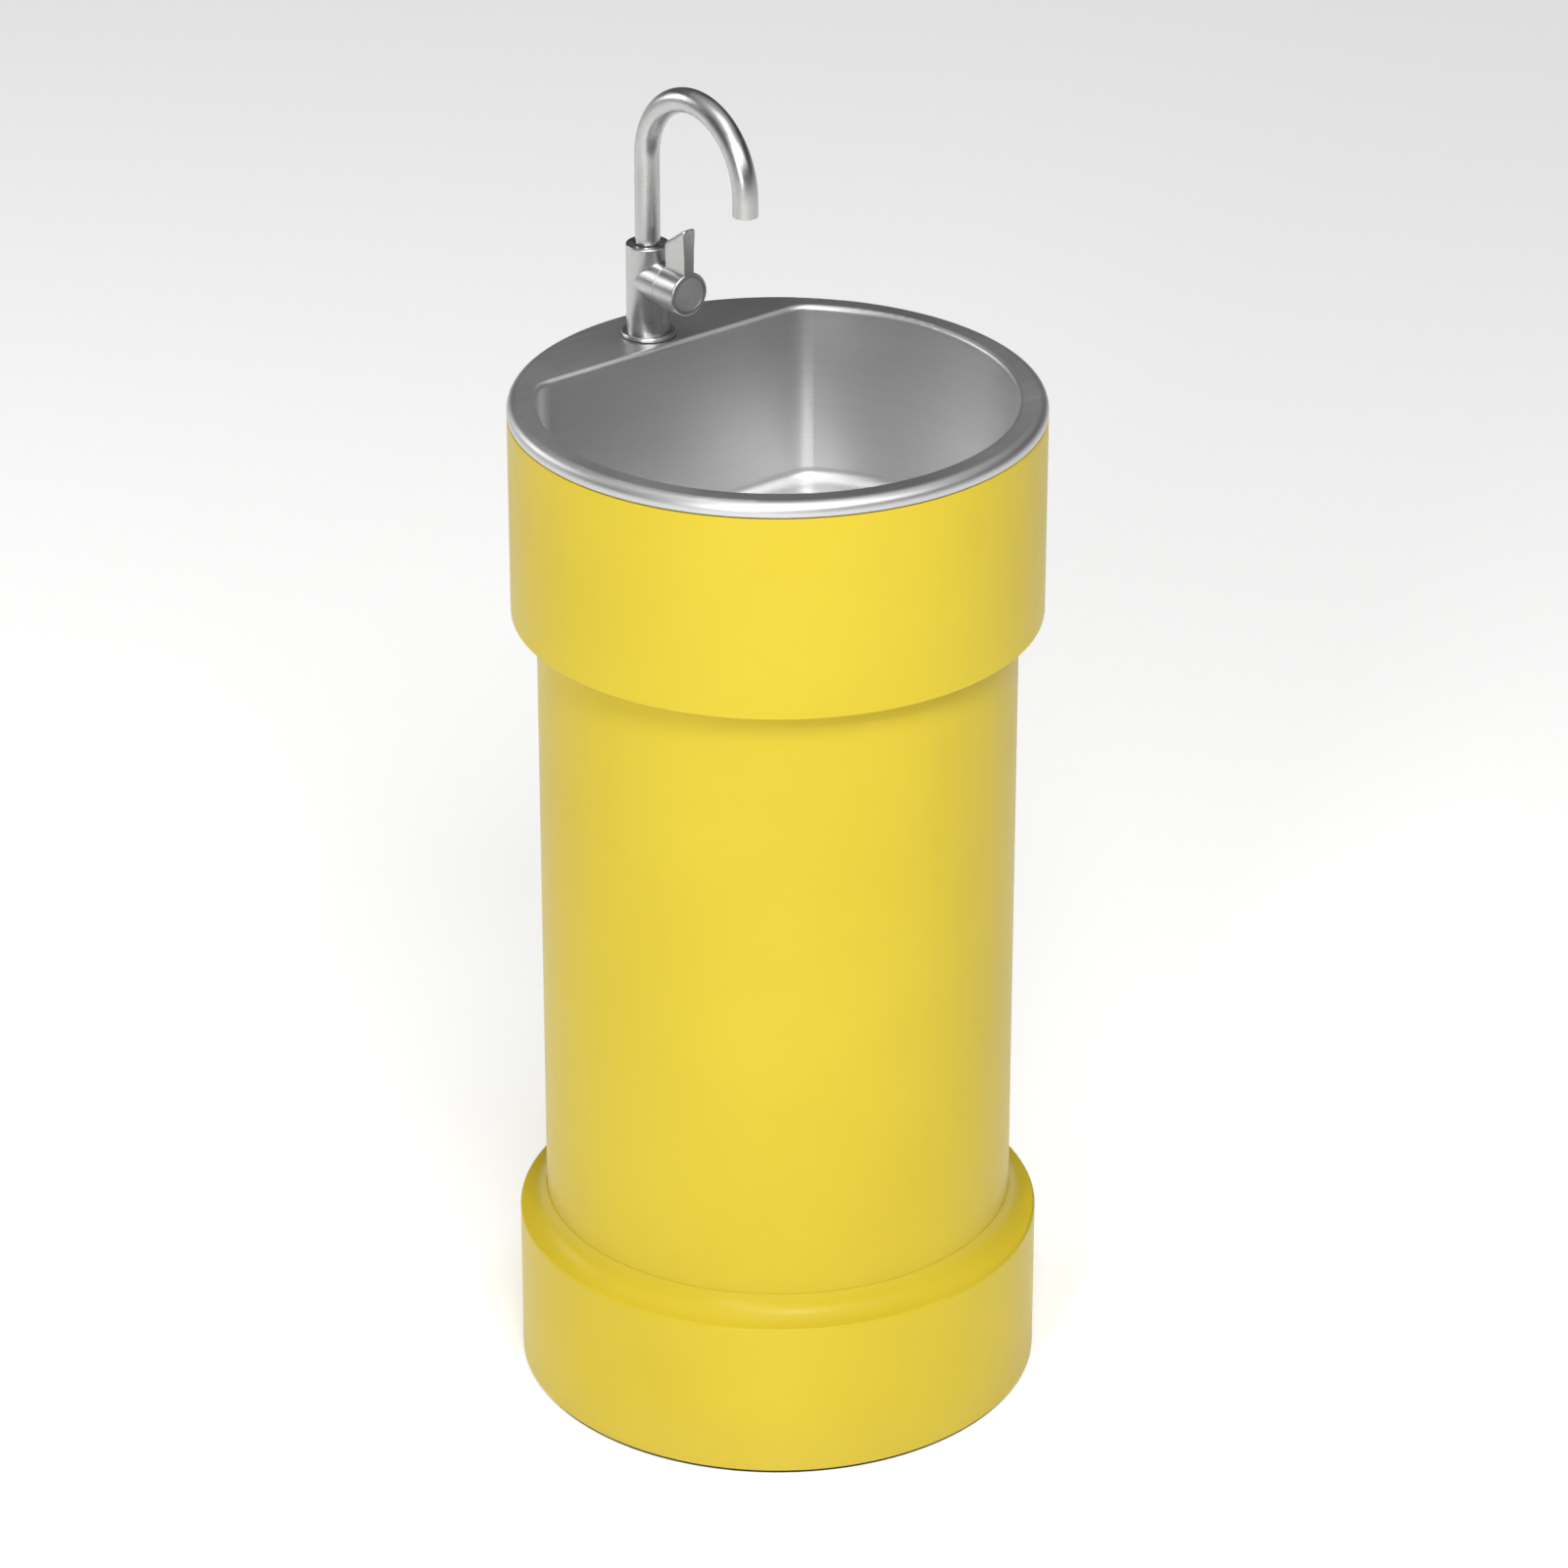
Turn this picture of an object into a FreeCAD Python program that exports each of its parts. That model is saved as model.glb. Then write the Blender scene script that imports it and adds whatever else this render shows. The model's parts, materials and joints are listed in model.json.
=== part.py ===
import FreeCAD
import Part
import Sketcher

import math
import os
from types import SimpleNamespace

# A pedestal wash station for a workplace: a round yellow column on a plinth, with a wider collar that
# carries a pressed stainless basin, a gooseneck tap with a quarter-turn side lever, and the plumbing
# inside the column. +Z is up, the user stands at -Y and the tap is at +Y. Millimetres.

NODES = "parts"
doc = FreeCAD.newDocument("WashStation")

# ---------------------------------------------------------------- driving dimensions
SIZES = [
    # pedestal
    ("pad_height", 3, "rubber ring under the plinth"),
    ("pad_inner", 186, "rubber ring, inner radius"),
    ("pad_outer", 210, "rubber ring, outer radius"),
    ("plinth_radius", 212, "plinth, outer radius"),
    ("plinth_top", 135, "height of the plinth's lip"),
    ("plinth_wall", 5, "plinth, wall"),
    ("cove_radius", 21, "hollow round from the plinth's lip up to the column"),
    ("lip_radius", 2, "round on the plinth's lip"),
    ("base_opening", 140, "opening in the bottom for pipes, radius"),
    ("foot_flange", 6, "plinth's bottom flange, thickness"),
    ("ring_plate", 5, "steel floor ring, thickness"),
    ("ring_outer", 184, "steel floor ring, outer radius"),
    ("anchor_circle", 165, "floor anchors, radius of their circle"),
    ("anchor_hole", 6, "floor anchors, hole radius"),
    ("column_radius", 190, "column, outer radius"),
    ("column_wall", 4, "column, wall"),
    ("column_top", 692, "height of the column's top edge"),
    ("sleeve_gap", 0.15, "gap between the column and a sleeve round it"),
    ("sleeve_wall", 4, "sleeve round the column"),
    ("plinth_sleeve", 112, "height where the plinth's sleeve starts"),
    ("plinth_screw_level", 128, "height of the plinth's screws"),
    ("collar_radius", 210, "collar, outer radius"),
    ("collar_bottom", 672, "height of the collar's lower edge"),
    ("collar_top", 837.5, "height of the collar's upper edge"),
    ("collar_wall", 4, "collar, wall"),
    ("collar_sleeve", 714, "height where the collar's sleeve ends"),
    ("collar_screw_level", 681, "height of the collar's screws"),
    ("boss_inner", 196, "clip bosses, inner radius"),
    ("boss_low", 786, "clip bosses, lower end"),
    ("boss_high", 832, "clip bosses, upper end"),
    # service opening at the back
    ("door_low", 190, "service opening, lower edge"),
    ("door_high", 470, "service opening, upper edge"),
    ("door_half", 95, "service opening, half its width"),
    ("door_corner", 14, "service opening, corner radius"),
    ("door_gap", 1, "gap round the cover"),
    ("door_lap", 16, "frame behind the cover, how far it shows in the opening"),
    ("frame_plate", 3, "frame behind the cover, thickness"),
    # basin
    ("rim_height", 850, "height of the basin's rim"),
    ("rim_radius", 210, "rim, outer radius"),
    ("rim_crest", 202, "rim, radius where its rolled edge starts"),
    ("skirt_bottom", 839, "height of the rolled edge's lower side"),
    ("hem_inner", 203, "rolled edge's turned-in hem, inner radius"),
    ("sheet_steel", 1.2, "basin, sheet thickness"),
    ("bowl_radius", 187, "bowl, radius of its round wall"),
    ("bowl_back", 133.5, "bowl, distance of its flat back wall"),
    ("bowl_corner", 25, "bowl, upright corner radius"),
    ("bowl_depth", 152, "bowl, depth"),
    ("bowl_floor_round", 12, "bowl, round between wall and floor"),
    ("mouth_round", 4, "bowl, round at its mouth"),
    # waste and trap
    ("waste_y", -25, "waste, position"),
    ("waste_hole", 45, "hole in the bowl's floor, radius"),
    ("waste_flange_radius", 57, "waste flange, radius"),
    ("cup_radius", 42.5, "strainer cup, outer radius"),
    ("cup_wall", 1.5, "strainer cup, wall"),
    ("cup_bottom", 650, "strainer cup, height of its underside"),
    ("tail_radius", 23.9, "waste tail, outer radius"),
    ("tail_bottom", 616, "waste tail, height of its end"),
    ("pipe_radius", 19.7, "waste pipe, outer radius"),
    ("pipe_wall", 2, "waste pipe, wall"),
    ("trap_radius", 36, "bottle trap, outer radius"),
    ("trap_wall", 3, "bottle trap, wall"),
    ("trap_top", 582, "bottle trap, height of its shoulder"),
    ("trap_bottom", 480, "bottle trap, height of its lower end"),
    ("trap_port_level", 554, "bottle trap, height of its outlet"),
    ("trap_port_reach", 50, "bottle trap, its axis to the end of its outlet"),
    ("drain_y", -110, "upright waste pipe, position"),
    ("drain_bend", 25, "waste pipe, bend radius"),
    ("drain_bottom", 45, "upright waste pipe, height of its lower end"),
    ("spigot_radius", 20, "drain pipe, radius of its floor spigot"),
    ("spigot_length", 60, "drain pipe, length of its floor spigot"),
    ("clip_level", 292, "waste pipe clip, height of its lower face"),
    # tap
    ("tap_y", 162.5, "tap, position"),
    ("tap_body_radius", 17.5, "tap body, radius"),
    ("tap_body_height", 77, "tap body, height above the deck"),
    ("tap_flange_radius", 22, "tap flange, radius"),
    ("tap_hole", 17, "tap hole in the deck, radius"),
    ("shank_radius", 13, "threaded shank, radius"),
    ("shank_length", 60, "threaded shank, length below the deck"),
    ("branch_level", 49, "side valve, height above the deck"),
    ("branch_radius", 17, "side valve, radius"),
    ("branch_reach", 27.4, "side valve, reach of its fixed part"),
    ("hub_start", 28, "lever hub, start"),
    ("hub_end", 53, "lever hub, end"),
    ("hub_radius", 17.5, "lever hub, radius"),
    ("lever_reach", 56, "lever, height of its front above its axis"),
    ("lever_slope", 18.5, "lever, how much lower its top is at the back"),
    ("spout_radius", 10, "spout tube, outer radius"),
    ("spout_bore", 8.7, "spout tube, bore"),
    ("spout_rise", 149, "spout, height above the deck where its arc starts"),
    ("spout_arc", 61.5, "spout, arc radius"),
    ("spout_tail", 13, "spout, straight end"),
    # supply
    ("valve_y", 115, "stop valve, position"),
    ("inlet_radius", 10.48, "half-inch thread, outer radius"),
    ("inlet_bottom", 62, "stop valve, height of its inlet end"),
    ("valve_top", 166, "stop valve, height of its outlet end"),
    ("valve_neck", 11, "stop valve, radius of the neck that its bracket holds"),
    ("hose_radius", 6, "supply hose, outer radius"),
]


class Dim:
    """A size worked out from the sheet: its value now, and the expression that binds a property to it."""

    def __init__(self, value, text):
        self.value = float(value)
        self.text = text

    def __add__(self, other):
        other = dim(other)
        return Dim(self.value + other.value, f"({self.text} + {other.text})")

    def __sub__(self, other):
        other = dim(other)
        return Dim(self.value - other.value, f"({self.text} - {other.text})")

    def __mul__(self, other):
        other = dim(other)
        return Dim(self.value * other.value, f"({self.text} * {other.text})")

    def __truediv__(self, other):
        other = dim(other)
        return Dim(self.value / other.value, f"({self.text} / {other.text})")

    def __neg__(self):
        return Dim(-self.value, f"(-1 * {self.text})")

    __radd__ = __add__

    def __rsub__(self, other):
        return dim(other) - self


def dim(value):
    return value if isinstance(value, Dim) else Dim(value, repr(float(value)))


def root(value):
    return Dim(math.sqrt(value.value), f"sqrt({value.text})")


def write_sheet():
    sheet = doc.addObject("Spreadsheet::Sheet", "Sizes")
    found = {}
    for row, (alias, value, note) in enumerate(SIZES, 1):
        sheet.set(f"A{row}", note)
        sheet.set(f"B{row}", str(value))
        sheet.setAlias(f"B{row}", alias)
        found[alias] = Dim(value, f"Sizes.{alias}")
    doc.recompute()
    return SimpleNamespace(**found)


size = write_sheet()
made = {}  # label: the object that holds a sub-part's final shape


def bind(thing, name, value):
    """Sets a property and binds it to the sheet."""
    value = dim(value)
    thing.setExpression(name, value.text)


def place(thing, x=0, y=0, z=0, turn=None):
    """Puts a sub-part at x, y, z, turned by turn = (axis, degrees)."""
    axis, angle = turn if turn else ((0, 0, 1), 0)
    at = [dim(v) for v in (x, y, z)]
    rotation = FreeCAD.Rotation(FreeCAD.Vector(*axis), angle)
    thing.Placement = FreeCAD.Placement(FreeCAD.Vector(*[v.value for v in at]), rotation)
    for letter, value in zip("xyz", at):
        bind(thing, f"Placement.Base.{letter}", value)
    return thing


FORWARD = ((1, 0, 0), 90)  # turns a piece made along +Z to run along -Y


# ---------------------------------------------------------------- sketches and solids of revolution
def arc_between(start, end, radius):
    """The arc from start to end; a positive radius has its centre on the left, a negative one on the right."""
    chord = end - start
    middle = (start + end) * 0.5
    across = FreeCAD.Vector(-chord.y, chord.x, 0).normalize()
    rise = math.sqrt(max(0.0, radius * radius - chord.Length**2 / 4))
    centre = middle + across * math.copysign(rise, radius)
    first, last = (start, end) if radius > 0 else (end, start)
    angles = [math.atan2(p.y - centre.y, p.x - centre.x) for p in (first, last)]
    circle = Part.Circle(centre, FreeCAD.Vector(0, 0, 1), abs(radius))
    return Part.ArcOfCircle(circle, angles[0], angles[1])


def fix_point(sketch, geometry, position, x, y):
    """Holds one point of a sketch at x, y, with both bound to the sheet."""
    for kind, value, axis in (("DistanceX", dim(x), -2), ("DistanceY", dim(y), -1)):
        if abs(value.value) < 1e-9:
            sketch.addConstraint(Sketcher.Constraint("PointOnObject", geometry, position, axis))
            continue
        number = sketch.addConstraint(
            Sketcher.Constraint(kind, -1, 1, geometry, position, value.value)
        )
        sketch.setExpression(f"Constraints[{number}]", value.text)


def outline(sketch, corners, closed=True):
    """Draws lines and arcs from corner to corner: (x, y), or (x, y, radius) where an arc runs on from it."""
    points = [FreeCAD.Vector(dim(c[0]).value, dim(c[1]).value, 0) for c in corners]
    legs = corners if closed else corners[:-1]
    ends = []
    for i, corner in enumerate(legs):
        start, end = points[i], points[(i + 1) % len(points)]
        if len(corner) == 3:
            radius = dim(corner[2])
            number = sketch.addGeometry(arc_between(start, end, radius.value))
            ends.append((number, (1, 2) if radius.value > 0 else (2, 1)))
        else:
            ends.append((sketch.addGeometry(Part.LineSegment(start, end)), (1, 2)))
    for i, corner in enumerate(legs):
        before, now = ends[i - 1], ends[i]
        if closed or i:
            join = Sketcher.Constraint("Coincident", before[0], before[1][1], now[0], now[1][0])
            sketch.addConstraint(join)
        fix_point(sketch, now[0], now[1][0], corner[0], corner[1])
    if not closed:
        fix_point(sketch, ends[-1][0], ends[-1][1][1], corners[-1][0], corners[-1][1])
    for (number, _), corner in zip(ends, legs):
        if len(corner) == 3:
            radius = dim(corner[2])
            held = Sketcher.Constraint("Radius", number, abs(radius.value))
            index = sketch.addConstraint(held)
            sign = "" if radius.value > 0 else "-1 * "
            sketch.setExpression(f"Constraints[{index}]", sign + radius.text)


def disc(sketch, x, y, radius):
    """A circle held at x, y."""
    at = FreeCAD.Vector(dim(x).value, dim(y).value, 0)
    circle = Part.Circle(at, FreeCAD.Vector(0, 0, 1), dim(radius).value)
    number = sketch.addGeometry(circle)
    fix_point(sketch, number, 3, x, y)
    index = sketch.addConstraint(Sketcher.Constraint("Radius", number, dim(radius).value))
    sketch.setExpression(f"Constraints[{index}]", dim(radius).text)


def new_body(label, blank=False):
    """A body that is a sub-part of its own, or a blank that goes into one."""
    body = doc.addObject("PartDesign::Body", label)
    body.Label = label
    if not blank:
        made[label] = body
    return body


def sketch_on(body, role, height=0):
    """A sketch on one of the body's origin planes, lifted by height along the plane's normal."""
    sketch = body.newObject("Sketcher::SketchObject", "Sketch")
    plane = next(f for f in body.Origin.OriginFeatures if f.Role == role)
    sketch.AttachmentSupport = [(plane, "")]
    sketch.MapMode = "FlatFace"
    if dim(height).value:
        bind(sketch, "AttachmentOffset.Base.z", height)
    return sketch


def revolve(body, corners):
    """Revolves an outline of (radius, height) corners about the body's Z axis."""
    sketch = sketch_on(body, "XZ_Plane")
    outline(sketch, corners)
    feature = body.newObject("PartDesign::Revolution", "Revolution")
    feature.Profile = sketch
    feature.ReferenceAxis = (sketch, ["V_Axis"])
    feature.Angle = 360
    doc.recompute()
    return feature


def ring(inner, outer, low, high):
    """Corners of a plain ring's section."""
    return [(inner, low), (outer, low), (outer, high), (inner, high)]


def turned(label, corners, blank=False, **where):
    """A sub-part, or a blank for one, that is turned from one section."""
    body = new_body(label, blank)
    revolve(body, corners)
    return place(body, **where) if where else body


def cut_through(body, sketch, length=4000):
    """Pockets a sketch to both sides of its plane and makes sure that it removed material."""
    before = body.Shape.Volume
    pocket = body.newObject("PartDesign::Pocket", "Pocket")
    pocket.Profile = sketch
    pocket.Midplane = True
    pocket.Type = "Length"
    bind(pocket, "Length", length)
    doc.recompute()
    if before - body.Shape.Volume < 1e-3:
        raise RuntimeError(f"{body.Label}: a pocket cut nothing")
    return pocket


def repeat_round(body, feature, count):
    """Repeats a feature round the body's Z axis."""
    pattern = body.newObject("PartDesign::PolarPattern", "PolarPattern")
    pattern.Originals = [feature]
    axis = next(f for f in body.Origin.OriginFeatures if f.Role == "Z_Axis")
    pattern.Axis = (axis, [""])
    pattern.Angle = 360
    pattern.Occurrences = count
    body.Tip = pattern
    doc.recompute()
    return pattern


def drill_circle(body, circle, radius, count, first_angle=0.0):
    """Drills count upright holes through the body on a circle."""
    for i in range(count):
        angle = math.radians(first_angle + 360.0 * i / count)
        sketch = sketch_on(body, "XY_Plane")
        disc(sketch, dim(circle) * math.cos(angle), dim(circle) * math.sin(angle), radius)
        cut_through(body, sketch)


def drill_sides(body, level, radius, reach):
    """Drills four level holes from the axis out to reach: one to each side."""
    for role in ("XZ_Plane", "YZ_Plane"):
        sketch = sketch_on(body, role)
        disc(sketch, 0, level, radius)
        cut_through(body, sketch, dim(reach) * 2)


# ---------------------------------------------------------------- primitives and booleans
def primitive(kind, name, turn=None, at=(0, 0, 0), **sizes):
    solid = doc.addObject(kind, name)
    for key, value in sizes.items():
        bind(solid, key, value)
    return place(solid, *at, turn=turn)


def cylinder(name, radius, length, at=(0, 0, 0), turn=None):
    return primitive("Part::Cylinder", name, turn, at, Radius=radius, Height=length)


def box(name, length, width, height, at):
    return primitive("Part::Box", name, None, at, Length=length, Width=width, Height=height)


def fuse(label, *pieces):
    joined = doc.addObject("Part::MultiFuse", label)
    joined.Shapes = list(pieces)
    joined.Refine = True
    doc.recompute()
    return joined


def cut(label, base, *tools):
    for i, tool in enumerate(tools):
        result = doc.addObject("Part::Cut", label if i == len(tools) - 1 else f"{label}_step")
        result.Base = base
        result.Tool = tool
        result.Refine = True
        base = result
    doc.recompute()
    return base


def common(label, base, tool):
    result = doc.addObject("Part::Common", label)
    result.Base = base
    result.Tool = tool
    doc.recompute()
    return result


def round_edges(label, base, radius, wanted):
    """Rounds the edges that wanted(edge) picks."""
    numbers = [i for i, edge in enumerate(base.Shape.Edges, 1) if wanted(edge)]
    if not numbers:
        raise RuntimeError(f"{label}: no edge to round")
    result = doc.addObject("Part::Fillet", label)
    result.Base = base
    result.Edges = [(n, radius, radius) for n in numbers]
    doc.recompute()
    return result


def prism_from(name, corners, low, height, plane="XY"):
    """Extrudes an outline: upward from low, or along +X from low where plane is YZ, or +Y where it is XZ."""
    turns = {
        "XY": FreeCAD.Rotation(),
        "YZ": FreeCAD.Rotation(FreeCAD.Vector(1, 1, 1), 120),
        "XZ": FreeCAD.Rotation(FreeCAD.Vector(1, 0, 0), 90),
    }
    sketch = doc.addObject("Sketcher::SketchObject", f"{name}_outline")
    outline(sketch, corners)
    along = {"XY": "z", "YZ": "x", "XZ": "y"}[plane]
    sketch.Placement = FreeCAD.Placement(FreeCAD.Vector(), turns[plane])
    bind(sketch, f"Placement.Base.{along}", low)
    solid = doc.addObject("Part::Extrusion", name)
    solid.Base = sketch
    solid.DirMode = "Custom"
    solid.Dir = {"XY": (0, 0, 1), "YZ": (1, 0, 0), "XZ": (0, 1, 0)}[plane]
    solid.Solid = True
    bind(solid, "LengthFwd", height)
    doc.recompute()
    return solid


def keep(label, piece):
    """Names the object that holds a sub-part's final shape."""
    piece.Label = label
    made[label] = piece
    return piece


def group(label, pieces):
    """Separate identical solids that share one node."""
    together = doc.addObject("Part::Compound", label)
    together.Links = pieces
    doc.recompute()
    return keep(label, together)


def button_screw(name, head_radius, head_height, shank_radius, shank_length, socket, placement):
    """A button-head screw with a hexagon socket: its seat is at the placement's origin, shank along -Z."""
    head = cylinder(f"{name}_head", head_radius, head_height)
    shank = cylinder(f"{name}_shank", shank_radius, shank_length, at=(0, 0, -dim(shank_length)))
    whole = fuse(f"{name}_blank", head, shank)
    top = head_height
    domed = round_edges(
        f"{name}_domed",
        whole,
        head_height * 0.6,
        lambda e: abs(e.CenterOfMass.z - top) < 1e-6 and e.Length > head_radius,
    )
    hexagon = doc.addObject("Part::Prism", f"{name}_hexagon")
    hexagon.Polygon = 6
    hexagon.Circumradius = socket
    hexagon.Height = head_height
    hexagon.Placement.Base = FreeCAD.Vector(0, 0, head_height * 0.4)
    screw = cut(f"{name}_screw", domed, hexagon)
    screw.Placement = placement
    return screw


def radial_places(level, radius, angles, outward=True):
    """Placements on a circle at one level, with +Z of each pointing to the axis, or away from it."""
    places = []
    for angle in angles:
        a = math.radians(angle)
        out = FreeCAD.Vector(math.cos(a), math.sin(a), 0)
        towards = out if outward else -out
        rotation = FreeCAD.Rotation(FreeCAD.Vector(0, 0, 1), towards)
        at = out * dim(radius).value + FreeCAD.Vector(0, 0, dim(level).value)
        places.append(FreeCAD.Placement(at, rotation))
    return places


def at_height(level):
    """Picks the edges that lie at one height."""
    wanted = dim(level).value
    return lambda edge: all(abs(vertex.Z - wanted) < 1e-6 for vertex in edge.Vertexes)


def rounded_rectangle(half_width, low, high, corner):
    """An upright rectangle about x = 0 with round corners."""
    inner = dim(half_width) - corner
    return [
        (-inner, low),
        (inner, low, corner),
        (half_width, dim(low) + corner),
        (half_width, dim(high) - corner, corner),
        (inner, high),
        (-inner, high, corner),
        (-dim(half_width), dim(high) - corner),
        (-dim(half_width), dim(low) + corner, corner),
    ]


def sweep(name, radius, spine, start, turn=None):
    """A round rod along a spine, whose first end is at start."""
    circle = primitive("Part::Circle", f"{name}_section", turn, start, Radius=radius)
    rod = doc.addObject("Part::Sweep", name)
    rod.Sections = [circle]
    rod.Spine = (spine, [f"Edge{i}" for i in range(1, len(spine.Shape.Edges) + 1)])
    rod.Solid = True
    rod.Transition = "Right corner"
    doc.recompute()
    return rod


def side_path(name, corners):
    """An open path in the plane x = 0, with corners given as (y, z)."""
    sketch = doc.addObject("Sketcher::SketchObject", name)
    outline(sketch, corners, closed=False)
    sketch.Placement = FreeCAD.Placement(
        FreeCAD.Vector(), FreeCAD.Rotation(FreeCAD.Vector(1, 1, 1), 120)
    )
    doc.recompute()
    return sketch


def hexagon(name, half_width, height, z=0):
    """A hexagonal bar, half_width from its axis to a flat."""
    return primitive(
        "Part::Prism",
        name,
        None,
        (0, 0, z),
        Circumradius=dim(half_width) / math.cos(math.pi / 6),
        Height=height,
    )


# ---------------------------------------------------------------- pedestal
SCREW_HOLE = 2.6  # clearance hole for a 5 mm screw
SCREW_SHANK = 2.5


def wall_screws(label, level, inner_radius, length, angles):
    """Screws driven outward from inside a tube, with their heads on its inner wall."""
    screws = []
    for i, placement in enumerate(radial_places(level, inner_radius, angles, outward=False)):
        name = f"{label}_{i}"
        screws.append(button_screw(name, 4.6, 2.8, SCREW_SHANK, length, 1.7, placement))
    return group(label, screws)


def make_foot_ring():
    turned("foot_ring", ring(size.pad_inner, size.pad_outer, 0, size.pad_height))


def make_plinth():
    outer = size.plinth_radius
    top = size.plinth_top
    floor = size.pad_height + size.foot_flange
    sleeve = size.column_radius + size.sleeve_gap
    inner = outer - size.plinth_wall
    cove_top = top + size.cove_radius - 1
    body = new_body("base_plinth")
    revolve(
        body,
        [
            (size.base_opening, size.pad_height),
            (outer, size.pad_height),
            (outer, top - size.lip_radius, size.lip_radius),
            (outer - size.lip_radius, top, -size.cove_radius),
            (size.column_radius + 0.45, cove_top),
            (sleeve, cove_top),
            (sleeve, size.plinth_sleeve),
            (sleeve + size.sleeve_wall, size.plinth_sleeve),
            (sleeve + size.sleeve_wall, top - size.plinth_wall),
            (inner, top - size.plinth_wall),
            (inner, floor),
            (size.base_opening, floor),
        ],
    )
    drill_circle(body, size.anchor_circle, size.anchor_hole, 4, first_angle=45)
    drill_sides(body, size.plinth_screw_level, SCREW_HOLE, inner - 3)


def make_floor_ring():
    low = size.pad_height + size.foot_flange
    body = new_body("floor_ring")
    revolve(body, ring(size.base_opening, size.ring_outer, low, low + size.ring_plate))
    drill_circle(body, size.anchor_circle, size.anchor_hole, 4, first_angle=45)


def make_column():
    inner = size.column_radius - size.column_wall
    body = new_body("column_tube")
    low = size.pad_height + size.foot_flange
    revolve(body, ring(inner, size.column_radius, low, size.column_top))
    sketch = sketch_on(body, "XZ_Plane")
    outline(sketch, rounded_rectangle(size.door_half, size.door_low, size.door_high, size.door_corner))
    opening = body.newObject("PartDesign::Pocket", "ServiceOpening")
    opening.Profile = sketch
    opening.Type = "Length"
    opening.Length = 400
    doc.recompute()
    if body.Shape.CenterOfGravity.y > 0:
        opening.Reversed = True
        doc.recompute()
    drill_sides(body, size.plinth_screw_level, SCREW_HOLE, 400)
    drill_sides(body, size.collar_screw_level, SCREW_HOLE, 400)


def shell_patch(label, inner, outer, margin, corner, hole=None):
    """A patch of a tube's wall at the back, larger than the service opening by margin, or with a hole."""
    thick = dim(outer) - inner
    tube = turned(f"{label}_tube", ring(inner, outer, 0, size.column_top), blank=True)
    low = size.door_low - margin
    high = size.door_high + margin
    shape = rounded_rectangle(size.door_half + margin, low, high, corner)
    patch = common(f"{label}_patch", tube, prism_from(f"{label}_blank", shape, 10, 300, "XZ"))
    if hole is None:
        return patch
    window = rounded_rectangle(
        size.door_half - hole, size.door_low + hole, size.door_high - hole, size.door_corner
    )
    window_bar = prism_from(f"{label}_window", window, dim(100), thick + 200, "XZ")
    return cut(f"{label}_open", patch, window_bar)


def door_screw_places():
    """The four screws of the service cover: seats on the column's outer wall, heads outward."""
    across = size.door_half.value - 9
    angle = math.degrees(math.asin(across / size.column_radius.value))
    places = []
    for level in (size.door_low + 9, size.door_high - 9):
        places += radial_places(level, size.column_radius, (90 - angle, 90 + angle))
    return places


def drilled(label, base, places, radius, depth):
    """Drills a hole inward from each placement."""
    tools = []
    for i, placement in enumerate(places):
        tool = doc.addObject("Part::Cylinder", f"{label}_drill_{i}")
        tool.Radius = radius
        tool.Height = depth
        inward = FreeCAD.Placement(FreeCAD.Vector(0, 0, 2 - depth), FreeCAD.Rotation())
        tool.Placement = placement.multiply(inward)
        tools.append(tool)
    return keep(label, cut(label, base, *tools))


def make_service_door():
    inner = size.column_radius - size.column_wall
    cover = shell_patch("service_cover", inner, size.column_radius, -size.door_gap, 13)
    places = door_screw_places()
    drilled("service_cover", cover, places, 2.1, 14)
    frame = shell_patch(
        "service_frame", inner - size.frame_plate, inner, 14, 20, hole=size.door_lap
    )
    drilled("service_frame", frame, places, 2.0, 14)
    screws = [
        button_screw(f"cover_screw_{i}", 3.8, 2.2, 2.0, 9, 1.3, placement)
        for i, placement in enumerate(places)
    ]
    group("service_cover_screws", screws)


CLIP_ANGLES = (52, 90, 128)
CLIP_SCREW_LEVEL = 812
CLIP_HALF = 11


def boss_corner(along, across, angle):
    """A point given along and across a direction, as sketch coordinates."""
    cosine, sine = math.cos(math.radians(angle)), math.sin(math.radians(angle))
    return dim(along) * cosine - across * sine, dim(along) * sine + across * cosine


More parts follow.
